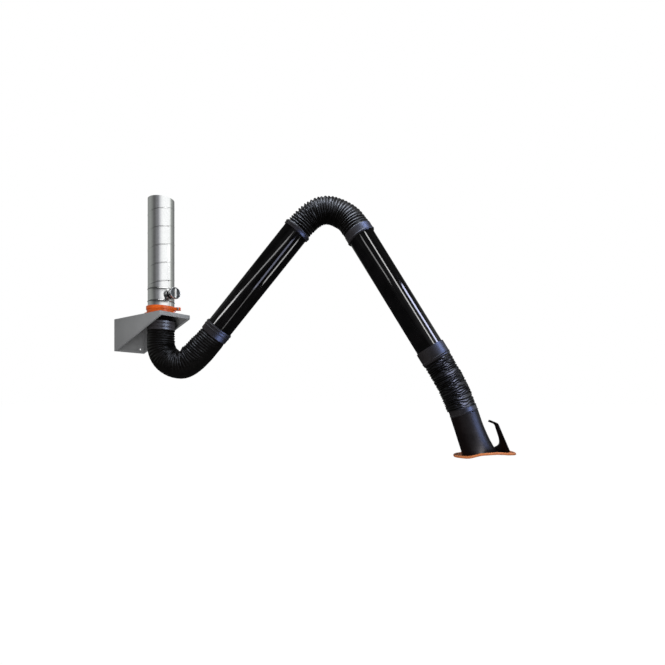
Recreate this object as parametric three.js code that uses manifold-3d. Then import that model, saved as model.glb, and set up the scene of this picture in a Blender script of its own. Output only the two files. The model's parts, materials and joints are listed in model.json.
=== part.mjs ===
// Fume extraction arm for a wall: a bracket with a swivel and a damper duct on top, two tubes that
// carry each other on friction hinges inside ribbed hoses, and a hood on a universal joint.
// Millimetres, +Z up, +X out of the wall. The origin is the centre of the wall plate's back face.
import * as THREE from 'three';
import { mergeVertices } from 'three/addons/utils/BufferGeometryUtils.js';
import Module from 'manifold-3d';

const wasm = await Module();
wasm.setup();

// Clearances
const SEAT = 0.3; // between pieces that touch
const RUNNING_GAP = 1; // between pieces that turn in each other
const HOLE_GAP = 0.5; // round a shank in its hole
const CUT_REACH = 1; // of a cutting shape past the faces that it opens
const LAP = 1; // of shapes that are joined into one piece

// Facets of round pieces: mating pieces share a count
const TUBE_SIDES = 24;
const BOLT_SIDES = 12;
const SCREW_SIDES = 8;
const HEX = 6;

// Bracket
const BRACKET_DEPTH = 524;
const BRACKET_WIDTH = 213;
const BRACKET_HEIGHT = 213;
const BRACKET_SHEET = 4;
const FRONT_LIP = 25;
const SLOPE_FLANGE = 14;
const WALL_PLATE = 6;
const FIXING_HOLE_RADIUS = 6;
const FIXING_HOLE_INSET = 28;
const SWIVEL_X = 374;

// Swivel, heights above the bracket's top plate
const SWIVEL_TUBE_RADIUS = 77;
const SWIVEL_TUBE_WALL = 2.5;
const SWIVEL_FLANGE_WIDTH = 5.5;
const SWIVEL_FLANGE_THICK = 4;
const LEDGE_HEIGHT = 33;
const SLIDE_RING_THICK = 2.4;
const SEAL_THICK = 2.4;
const COLLAR_WALL = 2.7;
const FOOT_WIDTH = 15;
const FOOT_THICK = 6;
const BASE_SCREW_RADIUS = 3;
const BASE_SCREW_HEAD_RADIUS = 5.5;
const BASE_SCREW_HEAD_HEIGHT = 4;
const BASE_SCREW_LENGTH = 14;
const BASE_SCREW_COUNT = 4;
const COVER_THICK = 9;
const SPIGOT_WALL = 2.7;
const SPIGOT_LENGTH = 24;
const CLAMP_THICK = 3.2;
const CLAMP_HEIGHT = 20;
const CLAMP_SLOT = 6;
const EAR_LENGTH = 34;
const EAR_THICK = 5;
const EAR_BOLT_REACH = 20; // bolt from the band's outer face
const EAR_AZIMUTH = THREE.MathUtils.degToRad(36);
const CLAMP_BOLT_RADIUS = 4;
const CLAMP_BOLT_HEAD_RADIUS = 7.2;
const CLAMP_BOLT_HEAD_HEIGHT = 5.6;
const CLAMP_BOLT_TAIL = 5; // past the far ear

// Duct and damper
const DUCT_RADIUS = 80;
const DUCT_WALL = 1.2;
const DUCT_LENGTH = 567;
const HOUSING_LENGTH = 114;
const BEAD_PROUD = 2.5;
const BEAD_HALF_HEIGHT = 4;
const BEAD_CREST_HALF = 1;
const LOW_BEAD_INSET = 31;
const HIGH_BEAD_INSET = 7;
const COUPLER_WALL = 2;
const COUPLER_LAP_BELOW = 26;
const COUPLER_LAP_ABOVE = 60;
const DUCT_SCREW_RADIUS = 2;
const DUCT_SCREW_HEAD_RADIUS = 5;
const DUCT_SCREW_HEAD_HEIGHT = 3.5;
const DUCT_SCREW_LIFT = 45;
const DUCT_SCREW_AZIMUTHS = [0, 180];
const DAMPER_LIFT = 70; // shaft above the housing's lower end
const DAMPER_SHAFT_RADIUS = 5;
const SHAFT_TAIL = 3; // past the back bush
const SHAFT_SOCKET_FLOOR = 3; // from the shaft's end to the dial's face
const BLADE_THICK = 1.5;
const BLADE_GAP = 1; // between the blade's edge and the spigot
const BUSH_WALL = 4;
const FRONT_BUSH_LENGTH = 20;
const BACK_BUSH_LENGTH = 3;
const BUSH_FLANGE = 3;
const BOSS_RADIUS = 33;
const BOSS_DEPTH = 22;
const BOSS_CHAMFER = 3;
const NECK_RADIUS = 16;
const NECK_LENGTH = 34;
const DIAL_RADIUS = 36;
const DIAL_THICK = 12;
const DIAL_BACK_CHAMFER = 4;
const DIAL_FRONT_CHAMFER = 2;
const GRIP_HEIGHT = 66;
const GRIP_WIDTH = 9;
const GRIP_DEPTH = 16;
const GRIP_CORNER = 8;

// Arm plane at rest: r runs out from the swivel axis and z up from the bracket's top plate
const ARM_AZIMUTH = THREE.MathUtils.degToRad(28.5);
const LOWER_HINGE_OFFSET = 90; // from the swivel axis
const LOWER_HINGE_DEPTH = 290; // below the top plate
const INNER_SLOPE = THREE.MathUtils.degToRad(49.7);
const OUTER_SLOPE = THREE.MathUtils.degToRad(-59.1);
const HOOD_SLOPE = THREE.MathUtils.degToRad(-72.2);
const INNER_TUBE_OFFSET = 96.4; // tube axis from the lower pivot
const INNER_ELBOW_OFFSET = 83.8; // elbow pivot from the inner tube's axis
const OUTER_ELBOW_OFFSET = 86.8; // elbow pivot from the outer tube's axis
const ELBOW_LEAD_LENGTH = 207.8; // elbow pivot past the inner tube's end
const HOOD_LEAD_LENGTH = 240; // hood joint past the outer tube's end

// Tubes
const TUBE_RADIUS = 80;
const TUBE_WALL = 1.5;
const INNER_TUBE_START = 300;
const INNER_TUBE_LENGTH = 812;
const OUTER_TUBE_START = 204;
const OUTER_TUBE_LENGTH = 880;

// Cuffs and hoses
const CUFF_THICK = 6.5;
const CUFF_EDGE = 2;
const CUFF_RIDGE = 3;
const RIDGE_FOOT_HALF = 3;
const RIDGE_CREST_HALF = 1;
const SWIVEL_CUFF_START = 41; // below the top plate
const SWIVEL_CUFF_LENGTH = 57;
const INNER_LOW_CUFF_LAP = 52; // of the tube inside the cuff
const INNER_HIGH_CUFF_LAP = 12;
const OUTER_HIGH_CUFF_LAP = 38;
const OUTER_LOW_CUFF_LAP = 65;
const CUFF_OVERHANG = 14; // of the cuff past the tube's end
const OUTER_LOW_CUFF_OVERHANG = 20;
const HOSE_BORE_RADIUS = 74;
const HOSE_VALLEY_RADIUS = 78;
const HOSE_CREST_RADIUS = 83;
const HOSE_SIDES = 8;
const RIBS_PER_BORE_RING = 5;
const LOWER_BEND_RADIUS = 135;
const ELBOW_BEND_RADIUS = 184;
const HOOD_BEND_RADIUS = 600;
const LOWER_HOSE_RIBS = 36;
const ELBOW_HOSE_RIBS = 28;
const HOOD_HOSE_RIBS = 18;

// Friction hinges inside the hoses
const HINGE_BLADE_THICK = 8;
const FRICTION_DISC_THICK = 3;
const FORK_PLATE_THICK = 6;
const HINGE_EYE_RADIUS = 27;
const HINGE_BOLT_RADIUS = 8;
const HINGE_NUT_RADIUS = 14;
const HINGE_NUT_HEIGHT = 10;
const HINGE_BOLT_TAIL = 3; // past the nut
const DISC_SPRING_HEIGHT = 4;
const DISC_SPRING_SHEET = 1.6;
const DISC_SPRING_RADIUS = 16;
const FRICTION_DISC_RADIUS = 26;
const LINK_HALF_WIDTH = 26;
const WEB_LENGTH = 60;
const WEB_INSET = 4; // from the tube's end
const KNEE_TURN = THREE.MathUtils.degToRad(27); // where a link bends, along the hose's arc

// Hood joint
const CROSS_HALF = 15;
const CROSS_PIN_RADIUS = 7;
const YOKE_GAP = 19; // from the axis to the strap
const YOKE_STRAP_THICK = 6;
const YOKE_STRAP_HALF_WIDTH = 12;
const YOKE_BAR_HALF_WIDTH = 15;
const YOKE_BAR_THICK = 6;
const YOKE_END = 12; // strap past the pin's axis
const UPPER_YOKE_INSET = 20; // bar inside the outer tube's end
const CARRIER_RADIUS = 73.5;
const CARRIER_WALL = 2.5;
const CARRIER_INSET = 8; // from the hood cuff's upper end
const CARRIER_FLANGE_WIDTH = 3;
const CARRIER_FLANGE_THICK = 3.4;
const LOWER_YOKE_INSET = 10; // bar below the carrier ring's upper end
const HOOD_CUFF_LENGTH = 38;

// Hood, sizes across and along its own axis
const HOOD_START = 136; // from the hood joint to the neck's top
const HOOD_WALL = 2.5;
const HOOD_LIP_THICK = 4.3;
const HOOD_NECK_RADIUS = 81;
const MOUTH_LEFT_REACH = 84;
const MOUTH_LEFT_DEPTH = 228;
const MOUTH_RIGHT_REACH = 150;
const MOUTH_RIGHT_DEPTH = 286;
const MOUTH_HALF_WIDTH = 108;
const MOUTH_SADDLE_HEIGHT = 30;
const HOOD_SIDES = 28;
// Shares of the way from the neck to the mouth: down on the left and right, then out to each side
const HOOD_FLARE = [
  { leftDown: 0, rightDown: 0, leftOut: 0, rightOut: 0, wide: 0, saddle: 0 },
  { leftDown: 0.35, rightDown: 0.3, leftOut: 0, rightOut: 0.015, wide: 0, saddle: 0 },
  { leftDown: 0.57, rightDown: 0.52, leftOut: 0.17, rightOut: 0.09, wide: 0.11, saddle: 0.07 },
  { leftDown: 0.77, rightDown: 0.695, leftOut: 0.33, rightOut: 0.19, wide: 0.3, saddle: 0.27 },
  { leftDown: 0.9, rightDown: 0.853, leftOut: 0.5, rightOut: 0.377, wide: 0.59, saddle: 0.6 },
  { leftDown: 1, rightDown: 1, leftOut: 1, rightOut: 1, wide: 1, saddle: 1 },
];
const RIM_LEFT_REACH = 133;
const RIM_LEFT_DEPTH = 211;
const RIM_RIGHT_REACH = 204;
const RIM_RIGHT_DEPTH = 298;
const RIM_HALF_WIDTH = 150;
const RIM_SADDLE_HEIGHT = 14;
const RIM_SIDES = 36;
const RIM_ROOT_HALF_THICK = 4;
const RIM_LIP_HALF_THICK = 9;
const RIM_WEB_SHARE = 0.7; // of the rim's width before it thickens
const RIM_LIP_SHARE = 0.92; // of the rim's width where the lip is thickest
const HANDLE_HALF_WIDTH = 17;
const HANDLE_REACH = 162; // outer corner from the hood's axis
const HANDLE_SPREAD = 14; // outer face further out at its foot
const HANDLE_THICK = 17;
const HANDLE_TIP = 74; // below the neck's top, as are the next three
const HANDLE_SHOULDER = 106;
const HANDLE_CROTCH = 233;
const HANDLE_FOOT = 280;
const HANDLE_TIP_REACH = 124;
const HANDLE_TIP_WIDTH = 12;
const HANDLE_BEND_RADIUS = 9;
const HANDLE_ROOT_REACH = 97; // where the foot goes into the flare
const HANDLE_ROOT_DEPTH = 22;
const BLOCK_SINK_DEPTH = 40; // of the block that seats the handle, below the hood's mouth

// Finishes
const FINISHES = {
  greyPaint: { color: 0x7a7d7f, roughness: 0.5, metalness: 0.2 },
  orangePaint: { color: 0xc8551a, roughness: 0.45, metalness: 0 },
  orangeRubber: { color: 0xd07038, roughness: 0.6, metalness: 0 },
  galvanised: { color: 0xb4b8ba, roughness: 0.35, metalness: 0.9 },
  steel: { color: 0x9a9da0, roughness: 0.4, metalness: 1 },
  blackTube: { color: 0x0c0d0f, roughness: 0.12, metalness: 0.3 },
  cuffRubber: { color: 0x1d222b, roughness: 0.35, metalness: 0 },
  hoseRubber: { color: 0x101216, roughness: 0.5, metalness: 0 },
  hoodPlastic: { color: 0x15171b, roughness: 0.35, metalness: 0 },
  whitePlastic: { color: 0xe6e6e2, roughness: 0.5, metalness: 0 },
  darkPlastic: { color: 0x26282b, roughness: 0.45, metalness: 0 },
};

function mesh(name, geometry, finish) {
  const made = new THREE.Mesh(geometry, new THREE.MeshStandardMaterial(FINISHES[finish]));
  made.name = name;
  return made;
}

// Solids: joins and cuts of closed geometries
function solidOf(geometry) {
  const bare = geometry.clone();
  bare.deleteAttribute('normal');
  bare.deleteAttribute('uv');
  const merged = mergeVertices(bare, 1e-4);
  const vertProperties = Float32Array.from(merged.attributes.position.array);
  const triVerts = Uint32Array.from(merged.index.array);
  return new wasm.Manifold(new wasm.Mesh({ numProp: 3, vertProperties, triVerts }));
}

function geometryOf(solid) {
  const { vertProperties, triVerts } = solid.getMesh();
  const geometry = new THREE.BufferGeometry();
  geometry.setAttribute('position', new THREE.BufferAttribute(vertProperties, 3));
  geometry.setIndex(new THREE.BufferAttribute(triVerts, 1));
  geometry.computeVertexNormals();
  return geometry;
}

function joined(...pieces) {
  return geometryOf(pieces.map(solidOf).reduce((sum, piece) => sum.add(piece)));
}

function cut(body, ...tools) {
  return geometryOf(tools.map(solidOf).reduce((rest, tool) => rest.subtract(tool), solidOf(body)));
}

// Basic shapes
function box(x0, x1, y0, y1, z0, z1) {
  const geometry = new THREE.BoxGeometry(x1 - x0, y1 - y0, z1 - z0);
  return geometry.translate((x0 + x1) / 2, (y0 + y1) / 2, (z0 + z1) / 2);
}

// A closed profile of [radius, height] points, anticlockwise, turned about Z
function turned(profile, sides = TUBE_SIDES) {
  const points = [...profile, profile[0]].map(([radius, height]) => new THREE.Vector2(radius, height));
  return new THREE.LatheGeometry(points, sides).rotateX(Math.PI / 2);
}

function ring(inner, outer, bottom, top, sides = TUBE_SIDES) {
  return turned([[inner, bottom], [outer, bottom], [outer, top], [inner, top]], sides);
}

function rod(radius, bottom, top, sides = BOLT_SIDES) {
  const geometry = new THREE.CylinderGeometry(radius, radius, top - bottom, sides);
  return geometry.rotateX(Math.PI / 2).translate(0, 0, (bottom + top) / 2);
}

// Turns a shape made along Z so that it runs along X or along Y
const alongX = (geometry) => geometry.rotateY(Math.PI / 2);
const alongY = (geometry) => geometry.rotateX(-Math.PI / 2);

// An outline in the XZ plane, given thickness from y0 to y1
function plate(shape, y0, y1) {
  const options = { depth: y1 - y0, bevelEnabled: false, curveSegments: 8 };
  return new THREE.ExtrudeGeometry(shape, options).rotateX(Math.PI / 2).translate(0, y1, 0);
}

const polygon = (points) => new THREE.Shape(points.map(([x, z]) => new THREE.Vector2(x, z)));

// A closed surface through rings of points that close on themselves both ways
function loopedSurface(rows) {
  const count = rows[0].length;
  const geometry = new THREE.BufferGeometry().setFromPoints(rows.flat());
  const index = [];
  rows.forEach((row, i) => {
    const next = (i + 1) % rows.length;
    for (let k = 0; k < count; k += 1) {
      const turn = (k + 1) % count;
      const a = i * count + k;
      const b = i * count + turn;
      const c = next * count + turn;
      const d = next * count + k;
      index.push(a, b, c, a, c, d);
    }
  });
  geometry.setIndex(index);
  geometry.computeVertexNormals();
  return geometry;
}

// Frames along the arm
function frameAt(point, slope) {
  const group = new THREE.Group();
  group.position.set(point.x, 0, point.y);
  group.rotation.y = Math.PI / 2 - slope;
  return group;
}

const along = (slope) => new THREE.Vector2(Math.cos(slope), Math.sin(slope));
const below = (slope) => new THREE.Vector2(Math.sin(slope), -Math.cos(slope));

function pointInFrame(origin, slope, across, distance) {
  const point = origin.clone();
  point.addScaledVector(below(slope), across);
  return point.addScaledVector(along(slope), distance);
}

function toFrame(point, origin, slope) {
  const offset = point.clone().sub(origin);
  return new THREE.Vector2(offset.dot(below(slope)), offset.dot(along(slope)));
}

const innerTubeEnd = INNER_TUBE_START + INNER_TUBE_LENGTH;
const outerTubeEnd = OUTER_TUBE_START + OUTER_TUBE_LENGTH;
const elbowReach = innerTubeEnd + ELBOW_LEAD_LENGTH;
const hoodReach = outerTubeEnd + HOOD_LEAD_LENGTH;

const lowerPivot = new THREE.Vector2(LOWER_HINGE_OFFSET, -LOWER_HINGE_DEPTH);
const innerOrigin = pointInFrame(lowerPivot, INNER_SLOPE, INNER_TUBE_OFFSET, 0);
const elbowPivot = pointInFrame(innerOrigin, INNER_SLOPE, INNER_ELBOW_OFFSET, elbowReach);
const outerOrigin = pointInFrame(elbowPivot, OUTER_SLOPE, -OUTER_ELBOW_OFFSET, 0);
const hoodJoint = pointInFrame(outerOrigin, OUTER_SLOPE, 0, hoodReach);

const lowerHoseTop = new THREE.Vector2(0, -SWIVEL_CUFF_START - SWIVEL_CUFF_LENGTH - SEAT);
const swivelTubeDrop = SWIVEL_CUFF_START + SWIVEL_CUFF_LENGTH - CUFF_OVERHANG;
const innerLowCuffEnd = INNER_TUBE_START - CUFF_OVERHANG;
const innerHighCuffEnd = innerTubeEnd + CUFF_OVERHANG;
const outerHighCuffEnd = OUTER_TUBE_START - CUFF_OVERHANG;
const outerLowCuffEnd = outerTubeEnd + OUTER_LOW_CUFF_OVERHANG;
const hoodCuffEnd = HOOD_START - SEAT;
const hoodCuffStart = hoodCuffEnd - HOOD_CUFF_LENGTH;
const carrierStart = hoodCuffStart + CARRIER_INSET;

// Where two lines of the arm plane cross
function crossing(pointA, slopeA, pointB, slopeB) {
  const normal = below(slopeB);
  const distance = pointB.clone().sub(pointA).dot(normal) / along(slopeA).dot(normal);
  return pointA.clone().addScaledVector(along(slopeA), distance);
}

// A hose's centre line: straight, round a corner on one arc, straight again
function bentPath(start, corner, end, radius) {
  const inward = corner.clone().sub(start).normalize();
  const outward = end.clone().sub(corner).normalize();
  const turn = Math.atan2(inward.cross(outward), inward.dot(outward));
  const tangent = radius * Math.tan(Math.abs(turn) / 2);
  const arcStart = corner.clone().addScaledVector(inward, -tangent);
  const arcLength = radius * Math.abs(turn);
  const firstLength = start.distanceTo(arcStart);
  const lastLength = corner.distanceTo(end) - tangent;
  const centre = arcStart.clone();
  const side = Math.sign(turn);
  centre.addScaledVector(new THREE.Vector2(-inward.y, inward.x), side * radius);
  function onArc(angle) {
    const direction = inward.clone().rotateAround(new THREE.Vector2(), side * angle);
    const point = arcStart.clone().rotateAround(centre, side * angle);
    return { point, direction };
  }
  function at(distance) {
    if (distance < firstLength) {
      return { point: start.clone().addScaledVector(inward, distance), direction: inward };
    }
    if (distance < firstLength + arcLength) {
      return onArc((distance - firstLength) / radius);
    }
    const past = distance - firstLength - arcLength;
    const arcEnd = onArc(Math.abs(turn)).point;
    return { point: arcEnd.addScaledVector(outward, past), direction: outward };
  }
  return { at, onArc, turn: Math.abs(turn), length: firstLength + arcLength + lastLength };
}

const lowerCorner = crossing(lowerHoseTop, -Math.PI / 2, innerOrigin, INNER_SLOPE);
const elbowCorner = crossing(innerOrigin, INNER_SLOPE, outerOrigin, OUTER_SLOPE);
const lowerPath = bentPath(
  lowerHoseTop,
  lowerCorner,
  pointInFrame(innerOrigin, INNER_SLOPE, 0, innerLowCuffEnd - SEAT),
  LOWER_BEND_RADIUS,
);
const elbowPath = bentPath(
  pointInFrame(innerOrigin, INNER_SLOPE, 0, innerHighCuffEnd + SEAT),
  elbowCorner,
  pointInFrame(outerOrigin, OUTER_SLOPE, 0, outerHighCuffEnd - SEAT),
  ELBOW_BEND_RADIUS,
);
const hoodPath = bentPath(
  pointInFrame(outerOrigin, OUTER_SLOPE, 0, outerLowCuffEnd + SEAT),
  hoodJoint,
  pointInFrame(hoodJoint, HOOD_SLOPE, 0, hoodCuffStart - SEAT),
  HOOD_BEND_RADIUS,
);

// A ribbed hose: rings out along the crests and valleys, then back along the bore
function hose(path, ribs) {
  function ringAt(share, radius) {
    const { point, direction } = path.at(share * path.length);
    const points = [];
    for (let k = 0; k < HOSE_SIDES; k += 1) {
      const angle = ((k + 0.5) / HOSE_SIDES) * 2 * Math.PI;
      const across = radius * Math.cos(angle);
      const x = point.x + across * direction.y;
      const z = point.y - across * direction.x;
      points.push(new THREE.Vector3(x, radius * Math.sin(angle), z));
    }
    return points;
  }
  const rows = [];
  for (let i = 0; i <= 2 * ribs; i += 1) {
    rows.push(ringAt(i / (2 * ribs), i % 2 ? HOSE_VALLEY_RADIUS : HOSE_CREST_RADIUS));
  }
  const boreRings = Math.ceil(ribs / RIBS_PER_BORE_RING);
  for (let i = boreRings; i >= 0; i -= 1) {
    rows.push(ringAt(i / boreRings, HOSE_BORE_RADIUS));
  }
  return loopedSurface(rows);
}

// A moulded cuff that grips a tube from z = start to z = end, with raised ridges
function cuff(inner, start, end, ridges) {
  const outer = inner + CUFF_THICK;
  const crest = outer + CUFF_RIDGE;
  const profile = [[inner, start], [outer - CUFF_EDGE, start], [outer, start + CUFF_EDGE]];
  ridges.forEach((share) => {
    const middle = start + share * (end - start);
    profile.push([outer, middle - RIDGE_FOOT_HALF], [crest, middle - RIDGE_CREST_HALF]);
    profile.push([crest, middle + RIDGE_CREST_HALF], [outer, middle + RIDGE_FOOT_HALF]);
  });
  profile.push([outer, end - CUFF_EDGE], [outer - CUFF_EDGE, end], [inner, end]);
  return turned(profile);
}

// A flat link: a web across a tube's bore, then a strip that bends at the knee and ends in an eye
function link(web, knee, pivot, y0, y1) {
  const middle = new THREE.Vector2(0, (web.start + web.end) / 2);
  const webShape = polygon([
    [-web.halfWidth, web.start],
    [web.halfWidth, web.start],
    [web.halfWidth, web.end],
    [-web.halfWidth, web.end],
  ]);
  function strip(from, to, endHalfWidth) {
    const direction = to.clone().sub(from).normalize();
    const side = new THREE.Vector2(-direction.y, direction.x);
    const corner = (point, width) => point.clone().addScaledVector(side, width).toArray();
    const outline = [
      corner(from, LINK_HALF_WIDTH),
      corner(from, -LINK_HALF_WIDTH),
      corner(to, -endHalfWidth),
      corner(to, endHalfWidth),
    ];
    return plate(polygon(outline), y0, y1);
  }
  const disc = (point, radius) => alongY(rod(radius, y0, y1)).translate(point.x, 0, point.y);
  const body = joined(
    plate(webShape, y0, y1),
    strip(middle, knee, LINK_HALF_WIDTH),
    disc(knee, LINK_HALF_WIDTH),
    strip(knee, pivot, HINGE_EYE_RADIUS),
    disc(pivot, HINGE_EYE_RADIUS),
  );
  const hole = alongY(rod(HINGE_BOLT_RADIUS + HOLE_GAP, y0 - CUT_REACH, y1 + CUT_REACH));
  return cut(body, hole.translate(pivot.x, 0, pivot.y));
}

// Layers of a friction hinge, outwards from its middle plane
const bladeFace = HINGE_BLADE_THICK / 2;
const discStart = bladeFace + SEAT;
const discEnd = discStart + FRICTION_DISC_THICK;
const forkStart = discEnd + SEAT;
const forkEnd = forkStart + FORK_PLATE_THICK;
const springStart = forkEnd + SEAT;
const springEnd = springStart + DISC_SPRING_HEIGHT;
const nutStart = springEnd + SEAT;
const nutEnd = nutStart + HINGE_NUT_HEIGHT;

// How far a flat piece, with its face this far from the axis, reaches across a faceted bore
function webHalfWidth(bore, face) {
  const inscribed = bore * Math.cos(Math.PI / TUBE_SIDES);
  return Math.sqrt(inscribed ** 2 - face ** 2) - SEAT;
}

function hingeHardware(name, pivot) {
  const group = new THREE.Group();
  group.position.set(pivot.x, 0, pivot.y);
  const hole = HINGE_BOLT_RADIUS + HOLE_GAP;
  const headFace = -forkEnd - SEAT;
  const bolt = joined(
    rod(HINGE_BOLT_RADIUS, headFace - LAP, nutEnd + HINGE_BOLT_TAIL),
    rod(HINGE_NUT_RADIUS, headFace - HINGE_NUT_HEIGHT, headFace, HEX),
  );
  const nut = cut(
    rod(HINGE_NUT_RADIUS, nutStart, nutEnd, HEX),
    rod(hole, nutStart - CUT_REACH, nutEnd + CUT_REACH),
  );
  const spring = turned([
    [hole, springEnd - DISC_SPRING_SHEET],
    [DISC_SPRING_RADIUS, springStart],
    [DISC_SPRING_RADIUS, springStart + DISC_SPRING_SHEET],
    [hole, springEnd],
  ], BOLT_SIDES);
  const nearDisc = ring(hole, FRICTION_DISC_RADIUS, -discEnd, -discStart, BOLT_SIDES);
  const farDisc = ring(hole, FRICTION_DISC_RADIUS, discStart, discEnd, BOLT_SIDES);
  group.add(
    mesh(`${name}_pivot_bolt`, alongY(bolt), 'steel'),
    mesh(`${name}_pivot_nut`, alongY(nut), 'steel'),
    mesh(`${name}_disc_spring`, alongY(spring), 'steel'),
    mesh(`${name}_friction_disc_near`, alongY(nearDisc), 'darkPlastic'),
    mesh(`${name}_friction_disc_far`, alongY(farDisc), 'darkPlastic'),
  );
  return group;
}

// Bracket pieces
const topZ = BRACKET_HEIGHT / 2;
const halfWidth = BRACKET_WIDTH / 2;
const collarBore = SWIVEL_TUBE_RADIUS + RUNNING_GAP;
const swivelFlangeRadius = SWIVEL_TUBE_RADIUS + SWIVEL_FLANGE_WIDTH;
const collarRecess = swivelFlangeRadius + RUNNING_GAP;
const collarRadius = collarRecess + COLLAR_WALL;
const footRadius = collarRadius + FOOT_WIDTH;
const baseScrewCircle = collarRadius + FOOT_WIDTH / 2;

function baseScrewPlaces() {
  const places = [];
  for (let k = 0; k < BASE_SCREW_COUNT; k += 1) {
    const angle = ((k + 0.5) / BASE_SCREW_COUNT) * 2 * Math.PI;
    places.push([baseScrewCircle * Math.cos(angle), baseScrewCircle * Math.sin(angle)]);
  }
  return places;
}

function baseScrewHoles(bottom, top) {
  const radius = BASE_SCREW_RADIUS + HOLE_GAP;
  return baseScrewPlaces().map(([x, y]) => rod(radius, bottom, top, SCREW_SIDES).translate(x, y, 0));
}

function wallPlate() {
  const body = box(0, WALL_PLATE, -halfWidth, halfWidth, -topZ, topZ);
  const holes = [];
  const y = halfWidth - FIXING_HOLE_INSET;
  const z = topZ - FIXING_HOLE_INSET;
  [[y, z], [-y, z], [y, -z], [-y, -z]].forEach(([holeY, holeZ]) => {
    const hole = alongX(rod(FIXING_HOLE_RADIUS, -CUT_REACH, WALL_PLATE + CUT_REACH));
    holes.push(hole.translate(0, holeY, holeZ));
  });
  return cut(body, ...holes);
}

function consoleShell() {
  const back = WALL_PLATE + SEAT;
  const front = BRACKET_DEPTH;
  const slopeDrop = BRACKET_HEIGHT - FRONT_LIP;
  const slopeAngle = Math.atan2(slopeDrop, front - back);
  const flangeLift = BRACKET_SHEET / Math.cos(slopeAngle);
  const sideOutline = polygon([[back, -topZ], [front, topZ - FRONT_LIP], [front, topZ], [back, topZ]]);
  const flangeOutline = polygon([
    [back, -topZ],
    [front, topZ - FRONT_LIP],
    [front, topZ - FRONT_LIP + flangeLift],
    [back, -topZ + flangeLift],
  ]);
  const body = joined(
    box(back, front, -halfWidth, halfWidth, topZ - BRACKET_SHEET, topZ),
    box(front - BRACKET_SHEET, front, -halfWidth, halfWidth, topZ - FRONT_LIP, topZ),
    plate(sideOutline, -halfWidth, -halfWidth + BRACKET_SHEET),
    plate(sideOutline, halfWidth - BRACKET_SHEET, halfWidth),
    plate(flangeOutline, -halfWidth, -halfWidth + SLOPE_FLANGE),
    plate(flangeOutline, halfWidth - SLOPE_FLANGE, halfWidth),
  );
  const holes = [rod(collarBore, -BRACKET_SHEET - CUT_REACH, CUT_REACH, TUBE_SIDES)];
  holes.push(...baseScrewHoles(-BRACKET_SHEET - CUT_REACH, CUT_REACH));
  return cut(body, ...holes.map((hole) => hole.translate(SWIVEL_X, 0, topZ)));
}

// Swivel heights above the top plate
const flangeBottom = LEDGE_HEIGHT + SEAT + SLIDE_RING_THICK + SEAT;
const flangeTop = flangeBottom + SWIVEL_FLANGE_THICK;
const sealTop = flangeTop + SEAT + SEAL_THICK;
const baseTop = flangeTop + RUNNING_GAP;
const coverBottom = sealTop + SEAT;
const coverTop = coverBottom + COVER_THICK;
const ductBore = DUCT_RADIUS - DUCT_WALL;
const spigotRadius = ductBore - SEAT;
const spigotBore = spigotRadius - SPIGOT_WALL;
const swivelBore = SWIVEL_TUBE_RADIUS - SWIVEL_TUBE_WALL;

function swivelBase() {
  const body = turned([
    [collarBore, SEAT],
    [footRadius, SEAT],
    [footRadius, SEAT + FOOT_THICK],
    [collarRadius, SEAT + FOOT_THICK],
    [collarRadius, baseTop],
    [collarRecess, baseTop],
    [collarRecess, LEDGE_HEIGHT],
    [collarBore, LEDGE_HEIGHT],
  ]);
  return cut(body, ...baseScrewHoles(SEAT - CUT_REACH, SEAT + FOOT_THICK + CUT_REACH));
}

function ductSpigot() {
  return turned([
    [spigotBore, coverBottom],
    [collarRecess, coverBottom],
    [collarRecess, baseTop + SEAT],
    [collarRadius, baseTop + SEAT],
    [collarRadius, coverTop],
    [spigotRadius, coverTop],
    [spigotRadius, coverTop + SPIGOT_LENGTH],
    [spigotBore, coverTop + SPIGOT_LENGTH],
  ]);
}

const clampInner = collarRadius + SEAT;
const clampOuter = clampInner + CLAMP_THICK;
const clampBottom = baseTop - CLAMP_HEIGHT / 2;
const clampTop = clampBottom + CLAMP_HEIGHT;
const earFace = CLAMP_SLOT / 2 + EAR_THICK;
const clampBoltX = clampOuter + EAR_BOLT_REACH;

function clampBand() {
  const earEnd = clampOuter + EAR_LENGTH;
  const ears = box(clampOuter - LAP, earEnd, -earFace, earFace, clampBottom, clampTop);
  const band = joined(ring(clampInner, clampOuter, clampBottom, clampTop), ears.rotateZ(EAR_AZIMUTH));
  const slotHalf = CLAMP_SLOT / 2;
  const slotStart = clampInner * Math.cos(Math.PI / TUBE_SIDES) - CUT_REACH;
  const slotLow = clampBottom - CUT_REACH;
  const slotHigh = clampTop + CUT_REACH;
  const slot = box(slotStart, earEnd + CUT_REACH, -slotHalf, slotHalf, slotLow, slotHigh);
  const hole = alongY(rod(CLAMP_BOLT_RADIUS + HOLE_GAP, -earFace - CUT_REACH, earFace + CUT_REACH));
  hole.translate(clampBoltX, 0, baseTop);
  return cut(band, slot.rotateZ(EAR_AZIMUTH), hole.rotateZ(EAR_AZIMUTH));
}

function clampBolt() {
  const headFace = -earFace - SEAT;
  const head = rod(CLAMP_BOLT_HEAD_RADIUS, headFace - CLAMP_BOLT_HEAD_HEIGHT, headFace, HEX);
  const shank = rod(CLAMP_BOLT_RADIUS, headFace - LAP, earFace + CLAMP_BOLT_TAIL);
  return alongY(joined(head, shank)).translate(clampBoltX, 0, baseTop).rotateZ(EAR_AZIMUTH);
}

function baseScrew() {
  const headBottom = SEAT + FOOT_THICK + SEAT;
  const headTop = headBottom + BASE_SCREW_HEAD_HEIGHT;
  const head = rod(BASE_SCREW_HEAD_RADIUS, headBottom, headTop, SCREW_SIDES);
  const shank = rod(BASE_SCREW_RADIUS, headBottom - BASE_SCREW_LENGTH, headBottom + LAP, SCREW_SIDES);
  return joined(head, shank);
}

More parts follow.
